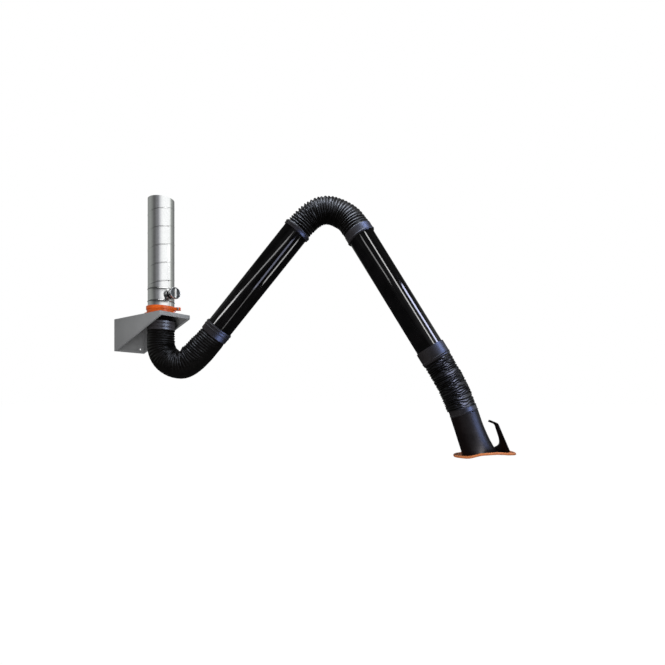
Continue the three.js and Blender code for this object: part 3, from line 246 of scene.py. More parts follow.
ARM_NORMAL = -Vector(JOINTS["lower_hinge"]["axis"])
UP = Vector((0, 0, 1))
ELBOW = Vector(JOINTS["elbow_hinge"]["pos_m"])
HOOD_JOINT = Vector(JOINTS["hood_tilt"]["pos_m"])
STACK = place(JOINTS["arm_swivel"]["pos_m"], (1, 0, 0), UP)
SWIVEL = place(JOINTS["arm_swivel"]["pos_m"], ARM_NORMAL.cross(UP), UP)
INNER = tube_place("inner_tube", ELBOW)
OUTER = tube_place("outer_tube", HOOD_JOINT)
HOOD = place(JOINTS["hood_turn"]["pos_m"], JOINTS["hood_side"]["axis"], JOINTS["hood_turn"]["axis"])
DAMPER_OUT = Vector(cloud("damper_dial").mean(axis=0)) - Vector(JOINTS["arm_swivel"]["pos_m"])
DAMPER_AXIS = aimed(Vector(JOINTS["damper_turn"]["axis"]), DAMPER_OUT)
DAMPER = place(JOINTS["damper_turn"]["pos_m"], UP, DAMPER_AXIS)


# Materials
NOISE_RANGE = (0.3, 0.7)  # where most values of a noise lie
GRAIN_DETAIL = 2.0
GRAIN_STRENGTH = 0.6


def set_inputs(node, settings):
    """Sets inputs of a shader node by their names."""
    for socket, value in settings.items():
        node.inputs[socket].default_value = value


def add_node(tree, kind, settings):
    """A new shader node with some of its inputs set."""
    node = tree.nodes.new(kind)
    set_inputs(node, settings)
    return node


def new_material(name, settings):
    """A node material whose constant settings sit on the shader's own sockets."""
    material = bpy.data.materials.new(name)
    material.use_nodes = True
    shader = material.node_tree.nodes["Principled BSDF"]
    set_inputs(shader, settings)
    return material, material.node_tree, shader


def coordinates(tree, stretch=(1, 1, 1)):
    """Object coordinates, scaled along each axis."""
    source = tree.nodes.new("ShaderNodeTexCoord")
    mapping = add_node(tree, "ShaderNodeMapping", {"Scale": stretch})
    tree.links.new(source.outputs["Object"], mapping.inputs["Vector"])
    return mapping.outputs["Vector"]


def noise(tree, vector, scale, detail=3.0):
    """A noise value over a vector."""
    node = add_node(tree, "ShaderNodeTexNoise", {"Scale": scale, "Detail": detail})
    tree.links.new(vector, node.inputs["Vector"])
    return node.outputs["Fac"]


def ramp(tree, value, stops):
    """A colour that follows a value through stops of (position, colour)."""
    node = tree.nodes.new("ShaderNodeValToRGB")
    elements = node.color_ramp.elements
    while len(elements) < len(stops):
        elements.new(0.5)
    for element, (position, colour) in zip(elements, stops):
        element.position = position
        element.color = (*colour, 1)
    tree.links.new(value, node.inputs["Fac"])
    return node.outputs["Color"]


def between(tree, value, low, high, source=NOISE_RANGE):
    """A value carried from one range into another."""
    ends = {"From Min": source[0], "From Max": source[1], "To Min": low, "To Max": high}
    node = add_node(tree, "ShaderNodeMapRange", ends)
    tree.links.new(value, node.inputs["Value"])
    return node.outputs["Result"]


def calculated(tree, operation, first, second, kind="ShaderNodeMath"):
    """What a calculation makes of a socket and of another socket or a number."""
    node = tree.nodes.new(kind)
    node.operation = operation
    tree.links.new(first, node.inputs[0])
    if isinstance(second, float):
        node.inputs[1].default_value = second
    else:
        tree.links.new(second, node.inputs[1])
    return node.outputs[0]


def mixed(tree, factor, first, second):
    """One shader turned into another by a factor."""
    node = tree.nodes.new("ShaderNodeMixShader")
    for source, socket in zip((factor, first, second), node.inputs):
        tree.links.new(source, socket)
    return node.outputs[0]


def bump(tree, shader, height, strength, distance):
    """Relief from a height value, over any relief the shader already has."""
    node = add_node(tree, "ShaderNodeBump", {"Strength": strength, "Distance": distance})
    tree.links.new(height, node.inputs["Height"])
    normal = shader.inputs["Normal"]
    if normal.is_linked:
        tree.links.new(normal.links[0].from_socket, node.inputs["Normal"])
    tree.links.new(node.outputs["Normal"], normal)


def drifting(tree, shader, drift, dark, light, roughness):
    """Colour and roughness that follow a noise."""
    stops = list(zip(NOISE_RANGE, (dark, light)))
    tree.links.new(ramp(tree, drift, stops), shader.inputs["Base Color"])
    tree.links.new(between(tree, drift, *roughness), shader.inputs["Roughness"])


def mottled(name, dark, light, roughness, scale, grain, settings, stretch=(1, 1, 1)):
    """A finish whose colour and roughness drift and whose skin has a fine grain (scale, depth)."""
    material, tree, shader = new_material(name, settings)
    vector = coordinates(tree, stretch)
    drifting(tree, shader, noise(tree, vector, scale), dark, light, roughness)
    grain_scale, grain_depth = grain
    bump(tree, shader, noise(tree, vector, grain_scale, GRAIN_DETAIL), GRAIN_STRENGTH, grain_depth)
    return material


def galvanised():
    """Hot-dipped zinc: spangled crystals, a slightly wavy sheet and a cloudy sheen."""
    material, tree, shader = new_material("galvanised", {"Metallic": 1.0})
    vector = coordinates(tree)
    crystals = add_node(tree, "ShaderNodeTexVoronoi", {"Scale": 95})
    tree.links.new(vector, crystals.inputs["Vector"])
    split = tree.nodes.new("ShaderNodeSeparateColor")
    tree.links.new(crystals.outputs["Color"], split.inputs["Color"])
    spangle = split.outputs["Red"]
    stops = [(0.0, (0.62, 0.63, 0.63)), (1.0, (0.67, 0.68, 0.68))]
    tree.links.new(ramp(tree, spangle, stops), shader.inputs["Base Color"])
    tree.links.new(between(tree, spangle, low=0.17, high=0.20, source=(0, 1)), shader.inputs["Roughness"])
    bump(tree, shader, noise(tree, vector, scale=9, detail=1.0), strength=0.12, distance=1.0 * MM)
    return material


def zinc_steel():
    """Bright zinc-plated steel with drawn scratches."""
    return mottled("zinc_steel", dark=(0.42, 0.43, 0.44), light=(0.56, 0.57, 0.58), roughness=(0.22, 0.36),
                   scale=60, grain=(900, 0.05 * MM), settings={"Metallic": 1.0}, stretch=(1, 1, 6))


def light_alloy():
    """Cast aluminium with a blasted skin."""
    return mottled("light_alloy", dark=(0.50, 0.50, 0.51), light=(0.62, 0.62, 0.63), roughness=(0.35, 0.5),
                   scale=50, grain=(1200, 0.08 * MM), settings={"Metallic": 1.0})


def grey_paint():
    """Grey powder coat with a fine orange-peel skin."""
    return mottled("grey_paint", dark=(0.225, 0.226, 0.228), light=(0.262, 0.263, 0.265),
                   roughness=(0.44, 0.56), scale=9, grain=(520, 0.1 * MM),
                   settings={"Specular IOR Level": 0.3})


def orange_paint():
    """Moulded orange plastic, slightly cloudy."""
    return mottled("orange_paint", dark=(0.56, 0.080, 0.007), light=(0.68, 0.115, 0.013),
                   roughness=(0.32, 0.44), scale=35, grain=(900, 0.01 * MM),
                   settings={"Specular IOR Level": 0.3})


def orange_rubber():
    """The hood rim's soft orange rubber."""
    return mottled("orange_rubber", dark=(0.47, 0.145, 0.045), light=(0.56, 0.185, 0.065),
                   roughness=(0.40, 0.52), scale=30, grain=(1100, 0.01 * MM),
                   settings={"Specular IOR Level": 0.4})


def black_tube():
    """Black gloss tube with a faint ripple and a little dust."""
    return mottled("black_tube", dark=(0.0022, 0.0021, 0.0022), light=(0.0045, 0.0042, 0.0045),
                   roughness=(0.05, 0.09), scale=14, grain=(300, 0.004 * MM), settings={"IOR": 1.22})


def cuff_rubber():
    """Dark rubber with a blue bloom that catches the light."""
    return mottled("cuff_rubber", dark=(0.013, 0.011, 0.011), light=(0.019, 0.016, 0.016),
                   roughness=(0.36, 0.46), scale=26, grain=(700, 0.012 * MM),
                   settings={"Specular IOR Level": 0.5, "Specular Tint": (0.72, 0.80, 1.0, 1.0)})


def hose_fabric():
    """Coated black fabric with small wrinkles and a fine weave under its coating."""
    material, tree, shader = new_material(
        "hose_fabric", {"Specular IOR Level": 0.22, "Specular Tint": (0.90, 0.92, 1.0, 1.0)})
    vector = coordinates(tree)
    drifting(tree, shader, noise(tree, vector, scale=40), dark=(0.0015, 0.0012, 0.0010),
             light=(0.0032, 0.0027, 0.0023), roughness=(0.32, 0.44))
    wrinkles = noise(tree, vector, scale=90, detail=2.0)
    bump(tree, shader, wrinkles, strength=0.2, distance=0.6 * MM)
    weave = noise(tree, vector, scale=1300, detail=1.0)
    bump(tree, shader, weave, strength=0.1, distance=0.02 * MM)
    return material


def hood_plastic():
    """Satin black moulded plastic with a fine spark-eroded texture."""
    return mottled("hood_plastic", dark=(0.0030, 0.0016, 0.0015), light=(0.0044, 0.0025, 0.0022),
                   roughness=(0.36, 0.44), scale=20, grain=(1500, 0.008 * MM),
                   settings={"Specular IOR Level": 0.1, "Specular Tint": (0.80, 0.86, 1.0, 1.0)})


def white_plastic():
    """Off-white moulded plastic."""
    return mottled("white_plastic", dark=(0.66, 0.66, 0.63), light=(0.76, 0.76, 0.73),
                   roughness=(0.35, 0.48), scale=40, grain=(1200, 0.05 * MM), settings={})


def dark_plastic():
    """Dark grey moulded plastic."""
    return mottled("dark_plastic", dark=(0.018, 0.020, 0.022), light=(0.032, 0.034, 0.037),
                   roughness=(0.36, 0.5), scale=45, grain=(1200, 0.06 * MM), settings={})


def seal_rubber():
    """Matt black rubber."""
    return mottled("seal_rubber", dark=(0.010, 0.010, 0.011), light=(0.020, 0.020, 0.021),
                   roughness=(0.6, 0.8), scale=40, grain=(900, 0.1 * MM), settings={})


MAKERS = (galvanised, zinc_steel, light_alloy, grey_paint, orange_paint, orange_rubber, black_tube,
          cuff_rubber, hose_fabric, hood_plastic, white_plastic, dark_plastic, seal_rubber)
MATERIALS = {maker.__name__: maker() for maker in MAKERS}


# Name and slot of every piece that shows
PIECES = {}


# Objects and meshes
def new_object(name, data):
    """An object in the scene."""
    made = bpy.data.objects.new(name, data)
    bpy.context.scene.collection.objects.link(made)
    return made


def mesh_of(name, vertices, faces):
    """A mesh with outward faces, smooth but for its sharp edges."""
    mesh = bpy.data.meshes.new(name)
    mesh.from_pydata([tuple(v) for v in vertices], [], faces)
    tidy_mesh(mesh)
    return mesh


def tidy_mesh(mesh):
    """Merges doubled points, turns the faces out and smooths the shading."""
    work = bmesh.new()
    work.from_mesh(mesh)
    bmesh.ops.remove_doubles(work, verts=work.verts, dist=MERGE_DISTANCE)
    bmesh.ops.dissolve_degenerate(work, dist=MERGE_DISTANCE, edges=work.edges)
    bmesh.ops.recalc_face_normals(work, faces=work.faces)
    work.to_mesh(mesh)
    work.free()
    mesh.shade_smooth()
    mesh.set_sharp_from_angle(angle=SHARP_ANGLE)


def mesh_from(work, name):
    """The finished mesh of a working mesh."""
    mesh = bpy.data.meshes.new(name)
    work.to_mesh(mesh)
    work.free()
    tidy_mesh(mesh)
    return mesh


def show(node, mesh, suffix="form", slot=None):
    """Stands a finished mesh in for a solid, with the solid's finish unless another is named."""
    slot = slot or NODE_SLOT[node]
    piece = new_object(f"{node}_{suffix}", mesh)
    mesh.materials.append(MATERIALS[slot])
    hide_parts(node)
    PIECES[piece.name] = slot
    return piece


def show_riding(node, mesh, suffix="form", slot=None):
    """Stands a rigid mesh in for a solid, on the solid's body."""
    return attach(show(node, mesh, suffix, slot), NODE_BODY[node])


def grid_faces(rows, columns):
    """Quads between closed rows of points, the last row joined to the first."""
    faces = []
    for row in range(rows):
        after = (row + 1) % rows
        for k in range(columns):
            turn = (k + 1) % columns
            faces.append((row * columns + k, row * columns + turn,
                          after * columns + turn, after * columns + k))
    return faces


def around(sides):
    """The angles of evenly spaced points round a circle."""
    return [2 * math.pi * k / sides for k in range(sides)]


def rounded(corners, radius):
    """A closed outline with its corners rounded."""
    outline = []
    for index, corner in enumerate(corners):
        here = Vector(corner)
        before = Vector(corners[index - 1]) - here
        after = Vector(corners[(index + 1) % len(corners)]) - here
        half = before.angle(after) / 2
        reach = min(radius / math.tan(half), LARGEST_CUT * before.length, LARGEST_CUT * after.length)
        start = here + before.normalized() * reach
        end = here + after.normalized() * reach
        for step in range(FILLET_STEPS + 1):
            share = step / FILLET_STEPS
            outline.append(tuple(start.lerp(here, share).lerp(here.lerp(end, share), share)))
    return outline


def turned(name, section, where, sides=ROUND_SIDES):
    """A closed section of (radius, height) points turned about a frame's z axis."""
    vertices = []
    for angle in around(sides):
        for radius, height in section:
            vertices.append(where @ Vector((radius * math.cos(angle), radius * math.sin(angle), height)))
    return mesh_of(name, vertices, grid_faces(sides, len(section)))


def softened(node, rounding):
    """A copy of a solid with its flat faces made whole and its edges rounded."""
    work = bmesh.new()
    work.from_mesh(frame["nodes"][node].data)
    bmesh.ops.remove_doubles(work, verts=work.verts, dist=MERGE_DISTANCE)
    bmesh.ops.dissolve_limit(work, angle_limit=FLAT_ANGLE, verts=work.verts, edges=work.edges)
    sharp = [edge for edge in work.edges if edge.is_manifold and edge.calc_face_angle(0) > SHARP_ANGLE]
    bmesh.ops.bevel(work, geom=sharp, offset=rounding, segments=EDGE_STEPS, profile=0.5,
                    affect="EDGES", clamp_overlap=True)
    return mesh_from(work, node)


# Bracket, collar and clamp
def bracket_pieces():
    """The folded bracket and its plate, the clamp, and the collar with its cover."""
    for node, rounding in BRACKET_ROUNDING.items():
        show_riding(node, softened(node, rounding))


# Duct
def bead(middle, radius):
    """Points over a rolled bead."""
    points = []
    for step in range(BEAD_STEPS + 1):
        share = step / BEAD_STEPS
        lift = BEAD_PROUD * math.sin(math.pi * share) ** 2
        points.append((radius + lift, middle + BEAD_HALF_WIDTH * (2 * share - 1)))
    return points


def damper_housing():
    """The short duct piece with two rolled beads."""
    low, high, inner, outer = span("damper_housing", STACK)
    radius = outer - BEAD_PROUD
    section = [(inner, low), (radius, low)]
    section += bead(low + LOW_BEAD_UP, radius)
    section += bead(high - HIGH_BEAD_DOWN, radius)
    section += [(radius, high), (inner, high)]
    show_riding("damper_housing", turned("damper_housing", section, STACK))


def seam_stations():
    """One turn of the strip across its width: (share of the pitch, height over the tube)."""
    foot = SEAM_FOOT / SEAM_PITCH
    stations = [(-0.5, 0.0), (-foot, 0.0)]
    for step in range(-SEAM_STEPS, SEAM_STEPS + 1):
        share = step / SEAM_STEPS
        lift = SEAM_PROUD * math.cos(share * math.pi / 2) ** SEAM_ROUNDNESS
        stations.append((share * SEAM_HALF_WIDTH / SEAM_PITCH, lift))
    stations.append((foot, 0.0))
    return stations


def spiral_duct():
    """A tube wound from strip: its lock seam climbs one pitch each turn."""
    low, high, _, outer = span("spiral_duct", STACK)
    last = math.ceil((high - low) / SEAM_PITCH) + SPARE_TURNS
    work = bmesh.new()
    grid = []
    for winding in range(-SPARE_TURNS, last):
        for share, lift in seam_stations():
            row = []
            for k in range(ROUND_SIDES + 1):
                angle = math.pi + 2 * math.pi * k / ROUND_SIDES
                height = low + SEAM_PITCH * (winding + share - SEAM_START + k / ROUND_SIDES)
                radius = outer + lift
                point = Vector((radius * math.cos(angle), radius * math.sin(angle), height))
                row.append(work.verts.new(STACK @ point))
            grid.append(row)
    for lower, upper in zip(grid, grid[1:]):
        for k in range(ROUND_SIDES):
            work.faces.new((lower[k], lower[k + 1], upper[k + 1], upper[k]))
    bmesh.ops.remove_doubles(work, verts=work.verts, dist=MERGE_DISTANCE)
    for height, side in ((low, -1), (high, 1)):
        geometry = work.verts[:] + work.edges[:] + work.faces[:]
        bmesh.ops.bisect_plane(work, geom=geometry, plane_co=STACK @ Vector((0, 0, height)),
                               plane_no=Vector((0, 0, side)), clear_outer=True)
    bmesh.ops.solidify(work, geom=work.faces[:], thickness=DUCT_WALL)
    show_riding("spiral_duct", mesh_from(work, "spiral_duct"))


# Tubes and cuffs
def tube_pieces():
    """The two long tubes."""
    for node, where in (("inner_tube", INNER), ("outer_tube", OUTER)):
        low, high, inner, outer = span(node, where)
        section = rounded([(inner, low), (outer, low), (outer, high), (inner, high)], TUBE_EDGE)
        show_riding(node, turned(node, section, where))


# Frame of each cuff, and its ridges as (share of its length, half width in mm)
CUFFS = {
    "swivel_cuff": (SWIVEL, [(0.3, 4), (0.7, 4)]),
    "inner_cuff_low": (INNER, [(0.55, 4), (0.85, 4)]),
    "inner_cuff_high": (INNER, [(0.7, 3.5)]),
    "outer_cuff_high": (OUTER, [(0.85, 4)]),
    "outer_cuff_low": (OUTER, [(0.85, 4)]),
    "hood_cuff": (HOOD, [(0.8, 4)]),
}


def cuff_section(low, high, inner, outer, ridges):
    """A cuff's section: a soft-edged sleeve with ridges."""
    section = [(inner, high), (inner, low)]
    for step in range(CUFF_STEPS + 1):
        share = step / CUFF_STEPS
        height = low + (high - low) * share
        from_end = min(height - low, high - height)
        fall = max(0.0, CUFF_EDGE - from_end) / CUFF_EDGE
        radius = outer - CUFF_EDGE * (1 - math.sqrt(max(0.0, 1 - fall * fall)))
        for middle, half in ridges:
            away = abs(height - (low + middle * (high - low))) / (half * MM)
            if away < 1:
                radius += RIDGE_RISE * math.cos(away * math.pi / 2) ** RIDGE_ROUNDNESS
        section.append((radius, height))
    return section


def cuff_pieces():
    """The cuffs that hold the hoses."""
    for node, (where, ridges) in CUFFS.items():
        low, high, inner, outer = span(node, where)
        section = cuff_section(low, high, inner, outer - RIDGE_RISE, ridges)
        show_riding(node, turned(node, section, where, HOSE_SIDES))


# Eased values
def smooth(part):
    """A share from 0 to 1 that starts and ends gently."""
    return part * part * (3 - 2 * part)


def mix(first, second, part):
    """A value part of the way from one to another."""
    return first * (1 - part) + second * part


def eased(table, position):
    """The value at a position in a table of (position, value), eased between its rows."""
    places, values = zip(*table)
    step = np.interp(position, places, np.arange(len(places)))
    row = min(int(step), len(places) - 2)
    return mix(values[row], values[row + 1], smooth(step - row))


# Hoses
class BentPath:
    """A centre line in the arm's plane: straight, round a corner on one arc, straight again."""

    def __init__(self, start, inward, end, outward, radius):
        outward = outward.normalized()
        self.inward = inward.normalized()
        self.axis = self.inward.cross(outward).normalized()
        self.turn = self.inward.angle(outward)
        across = self.axis.cross(outward)
        reach = (end - start).dot(across) / self.inward.dot(across)
        corner = start + self.inward * reach
        tangent = radius * math.tan(self.turn / 2)
        self.radius = radius
        self.first = reach - tangent
        self.arc = radius * self.turn
        self.length = self.first + self.arc + (end - corner).dot(outward) - tangent
        self.arc_start = corner - self.inward * tangent
        self.centre = self.arc_start + self.axis.cross(self.inward) * radius

    def at(self, share):
        """Point and direction at a share of the length."""
        past_straight = share * self.length - self.first
        on_arc = min(max(past_straight, 0.0), self.arc)
        turn = Matrix.Rotation(on_arc / self.radius, 3, self.axis)
        direction = turn @ self.inward
        point = self.centre + turn @ (self.arc_start - self.centre)
        return point + direction * (past_straight - on_arc), direction


def wandering(share, turn, seed, rows, columns):
    """Smooth seeded noise from -1 to 1 over a hose, at shares of its length and of a turn."""
    lattice = np.random.default_rng(seed).uniform(-1, 1, (rows + 1, columns))
    down = share * rows
    across = turn * columns
    row = np.minimum(down.astype(int), rows - 1)
    column = across.astype(int)
    beside = (column + 1) % columns
    part = smooth(across - column)
    upper = mix(lattice[row, column], lattice[row, beside], part)
    lower = mix(lattice[row + 1, column], lattice[row + 1, beside], part)
    return mix(upper, lower, smooth(down - row))


def fine_ribs(share, turn, outside):
    """The lower hose: low ribs that tighten and crumple on the inside of the bend. Depths in mm."""
    drift, sharpness = 0.16, 1.4
    outer_depth, inner_depth, dent = 0.5, 6.0, 1.8
    inside = 1 - outside
    wander = wandering(share, turn, seed=11, rows=72, columns=22)
    phase = share * LOWER_HOSE_RIBS + drift * wander * inside
    crest = np.abs(np.cos(np.pi * phase)) ** sharpness
    depth = outer_depth + (inner_depth - outer_depth) * inside
    return -(depth * (1 - crest) + dent * (wander + 1) * inside) * MM


def open_ribs(share, turn, outside):
    """The elbow hose: sharp folds that open like a fan on the outside of the bend. Depths in mm."""
    drift, blunt, sharper = 0.14, 0.6, 1.3
    closed_depth, opened_depth, dent = 5.0, 7.0, 1.0
    open_at_start, closing, least_open = 1.25, 1.4, 0.35
    wander = wandering(share, turn, seed=23, rows=60, columns=18)
    phase = share * ELBOW_HOSE_RIBS + drift * wander
    opened = np.clip(open_at_start - closing * share, least_open, 1)
    crest = np.abs(np.cos(np.pi * phase)) ** (blunt + sharper * opened)
    depth = closed_depth + opened_depth * outside * opened
    return -(depth * (1 - crest) + dent * (wander + 1)) * MM


def crumpled_ribs(share, turn, outside):
    """The hood hose: slack folds that run into each other, the same all round. Depths in mm."""
    fold_drift, crease_drift, sharpness = 0.75, 0.15, 1.1
    mean_depth, depth_change, dent = 6.0, 2.5, 2.0
    wander = wandering(share, turn, seed=37, rows=18, columns=10)
    crease = wandering(share, turn, seed=41, rows=56, columns=26)
    phase = share * HOOD_HOSE_RIBS + fold_drift * wander + crease_drift * crease
    crest = np.abs(np.cos(np.pi * phase)) ** sharpness
    depth = mean_depth + depth_change * wander
    return -(depth * (1 - crest) + dent * (crease + 1)) * MM


def hose_mesh(name, path, form, ribs, sag, swell, shares=(0.0, 1.0)):
    """A hose's skin from one share of its path to another, closed by its bore."""
    first, last = shares
    skin_rows = round(ribs * ROWS_PER_RIB * (last - first))
    bore_rows = round(ribs * (last - first))
    turns = np.arange(HOSE_SIDES) / HOSE_SIDES
    angles = 2 * np.pi * turns
    outside = 0.5 + 0.5 * np.cos(angles)
    rows = []

    def add_row(share, skin):
        """One ring of points, of the skin or of the bore."""
        point, direction = path.at(share)
        outward = direction.cross(path.axis)
        settle = min(1.0, min(share, 1 - share) * path.length / HOSE_END_FADE)
        radius = np.full(HOSE_SIDES, HOSE_BORE)
        if skin:
            relief = settle * form(np.full(HOSE_SIDES, share), turns, outside)
            radius = HOSE_CREST + eased(swell, share) * MM + relief
        point = point - outward * (eased(sag, share) * MM)
        for angle, reach in zip(angles, radius):
            rows.append(point + outward * (reach * math.cos(angle)) + path.axis * (reach * math.sin(angle)))

    for row in range(skin_rows + 1):
        add_row(first + (last - first) * row / skin_rows, True)
    for row in range(bore_rows, -1, -1):
        add_row(first + (last - first) * row / bore_rows, False)
    return mesh_of(name, rows, grid_faces(skin_rows + bore_rows + 2, HOSE_SIDES))


def axis_point(where, height):
    """A point on a frame's z axis."""
    return where @ Vector((0, 0, height))


def axis_of(where):
    """The direction of a frame's z axis."""
    return where.to_3x3() @ UP


def end_of(node, where, high, gap=0.0):
    """The centre of one end of a turned solid, or a gap beyond it."""
    heights = span(node, where)
    return axis_point(where, heights[1] + gap if high else heights[0] - gap)


def lower_hose():
    """From the swivel's cuff round to the inner tube."""
    along = axis_of(INNER)
    start = end_of("swivel_cuff", SWIVEL, False, HOSE_SEAT_GAP)
    end = end_of("inner_cuff_low", INNER, False, HOSE_SEAT_GAP)
    path = BentPath(start, -UP, end, along, LOWER_BEND_RADIUS)
    mesh = hose_mesh("lower_hose", path, fine_ribs, LOWER_HOSE_RIBS, LOWER_SAG, LOWER_SWELL)
    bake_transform(show("lower_hose", mesh))


def elbow_hose():
    """From the inner tube over to the outer tube."""
    before = axis_of(INNER)
    after = axis_of(OUTER)
    start = end_of("inner_cuff_high", INNER, True, HOSE_SEAT_GAP)
    end = end_of("outer_cuff_high", OUTER, False, HOSE_SEAT_GAP)
    path = BentPath(start, before, end, after, ELBOW_BEND_RADIUS)
    mesh = hose_mesh("elbow_hose", path, open_ribs, ELBOW_HOSE_RIBS, ELBOW_SAG, ELBOW_SWELL)
    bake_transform(show("elbow_hose", mesh))


def hood_hose():
    """From the outer tube to the hood, in two lengths that meet at the hood's joint."""
    before = axis_of(OUTER)
    after = axis_of(HOOD)
    start = end_of("outer_cuff_low", OUTER, True, HOSE_SEAT_GAP)
    end = end_of("hood_cuff", HOOD, False, HOSE_SEAT_GAP)
    path = BentPath(start, before, end, after, HOOD_BEND_RADIUS)
    middle = (path.first + path.arc / 2) / path.length
    form = (crumpled_ribs, HOOD_HOSE_RIBS, HOOD_SAG, HOOD_SWELL)
    upper = show("hood_hose", hose_mesh("hood_hose_upper", path, *form, (0.0, middle)), "upper_form")
    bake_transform(upper)
    lower = show("hood_hose", hose_mesh("hood_hose_lower", path, *form, (middle, 1.0)), "lower_form")
    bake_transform(lower)


# Hood
def flare_station(shares):
    """One outline of the flare: left and right (across, down), half width and saddle height."""
    left_down, right_down, left_out, right_out, wide, saddle = shares
    left = -NECK_RADIUS + (MOUTH_LEFT[0] + NECK_RADIUS) * left_out
    right = NECK_RADIUS + (MOUTH_RIGHT[0] - NECK_RADIUS) * right_out
    half = NECK_RADIUS + (MOUTH_HALF_WIDTH - NECK_RADIUS) * wide
    return [left, MOUTH_LEFT[1] * left_down, right, MOUTH_RIGHT[1] * right_down, half, MOUTH_SADDLE * saddle]


def smooth_stations():
    """The flare's stations with others put in between, on a spline through them."""
    rows = np.array([flare_station(shares) for shares in HOOD_FLARE])
    padded = np.vstack([2 * rows[0] - rows[1], rows, 2 * rows[-1] - rows[-2]])
    made = []
    for index in range(1, len(padded) - 2):
        before, here, after, beyond = padded[index - 1:index + 3]
        for step in range(FLARE_STEPS):
            share = step / FLARE_STEPS
            made.append(0.5 * (2 * here + (after - before) * share
                               + (2 * before - 5 * here + 4 * after - beyond) * share ** 2
                               + (3 * here - before - 3 * after + beyond) * share ** 3))
    made.append(rows[-1])
    return made


def hood_point(station, angle, inset):
    """A point of the hood's wall in its own frame, drawn in by an inset."""
    left, left_down, right, right_down, half, saddle = station
    across = (left + right) / 2 + ((right - left) / 2 - inset) * math.cos(angle)
    sideways = (half - inset) * math.sin(angle)
    down = (left_down + right_down) / 2 + (right_down - left_down) / 2 * math.cos(angle)
    return Vector((across, sideways, down - saddle * math.sin(angle) ** 2))


def hood_row(station, inset):
    """One ring of points round the hood's wall."""
    return [HOOD @ (hood_point(station, angle, inset) * MM) for angle in around(ROUND_SIDES)]


def hood_shell():
    """The hood's flared shell, with the lip that rides on the carrier ring."""
    stations = smooth_stations()
    neck = NECK_RADIUS
    lip_low = [-neck, HOOD_LIP_THICK, neck, HOOD_LIP_THICK, neck, 0]
    lip_inset = neck - HOOD_LIP_RADIUS
    below_lip = stations[2:]
    rows = [hood_row(station, 0) for station in stations]
    rows += [hood_row(station, HOOD_WALL) for station in reversed(below_lip)]
    rows += [hood_row(lip_low, HOOD_WALL), hood_row(lip_low, lip_inset), hood_row(stations[0], lip_inset)]
    vertices = [point for row in rows for point in row]
    show_riding("hood_shell", mesh_of("hood_shell", vertices, grid_faces(len(rows), ROUND_SIDES)))


def rim_section():
    """The rim's section as (share of the way out, height over its middle)."""
    upper = []
    for step in range(RIM_STEPS + 1):
        share = step / RIM_STEPS
        swell = min(1.0, max(0.0, (share - RIM_SWELL_START) / RIM_SWELL_LENGTH))
        web = RIM_WEB_HALF * min(1.0, RIM_ROOT_SHARE + RIM_ROOT_GROWTH * share)
        half = web + (RIM_LIP_HALF - RIM_WEB_HALF) * smooth(swell)
        tail = max(0.0, (share - RIM_ROUND_START) / (1 - RIM_ROUND_START))
        upper.append((share, half * math.sqrt(max(0.0, 1 - tail * tail))))
    return upper + [(share, -half) for share, half in reversed(upper[:-1])]


def hood_rim():
    """The soft rim: a web round the mouth that thickens into a rolled lip."""
    mouth = flare_station(HOOD_FLARE[-1])
    outline = [*RIM_LEFT, *RIM_RIGHT, RIM_HALF_WIDTH, RIM_SADDLE]
    section = rim_section()
    sides = 2 * ROUND_SIDES
    vertices = []
    for angle in around(sides):
        root = hood_point(mouth, angle, RIM_ROOT_INSET) + Vector((0, 0, RIM_ROOT_DROP))
        edge = hood_point(outline, angle, 0)
        edge.z -= eased(RIM_WAVE, math.cos(angle))
        for share, lift in section:
            vertices.append(HOOD @ ((root.lerp(edge, share) + Vector((0, 0, lift))) * MM))
    show_riding("hood_rim", mesh_of("hood_rim", vertices, grid_faces(sides, len(section))))


def hood_handle():
    """The handle, with the underside of its foot let down on to the shell."""
    mesh = softened("hood_handle", HANDLE_ROUNDING)
    shell = bpy.data.objects["hood_shell_form"].data
    skin = BVHTree.FromPolygons([vertex.co for vertex in shell.vertices],
                                [face.vertices for face in shell.polygons])
    down = axis_of(HOOD)
    for vertex in mesh.vertices:
        seat, _, _, _ = skin.ray_cast(vertex.co, down, HANDLE_FOOT_REACH)
        if seat is not None:
            vertex.co = seat + down * HANDLE_FOOT_BITE
    show_riding("hood_handle", mesh)


# Damper
def damper_dial():
    """A bright ring round a dark face, on its boss."""
    show_riding("damper_boss", softened("damper_boss", BOSS_ROUNDING))
    low, high, _, outer = span("damper_dial", DAMPER)
    ring = outer - DIAL_RING
    waist = outer - DIAL_CHAMFER
    corners = [(ring, low), (waist, low), (outer, low + DIAL_CHAMFER), (outer, high), (ring, high)]
    section = rounded(corners, DIAL_SOFTNESS)
    show_riding("damper_dial", turned("damper_dial_rim", section, DAMPER, DIAL_SIDES), "rim", "zinc_steel")
    back = low + DIAL_SOFTNESS
    face = high - DIAL_RECESS
    disc = rounded([(DIAL_CORE, back), (ring, back), (ring, face), (DIAL_CORE, face)], DIAL_SOFTNESS / 2)
    show_riding("damper_dial", turned("damper_dial_face", disc, DAMPER, DIAL_SIDES), "face")


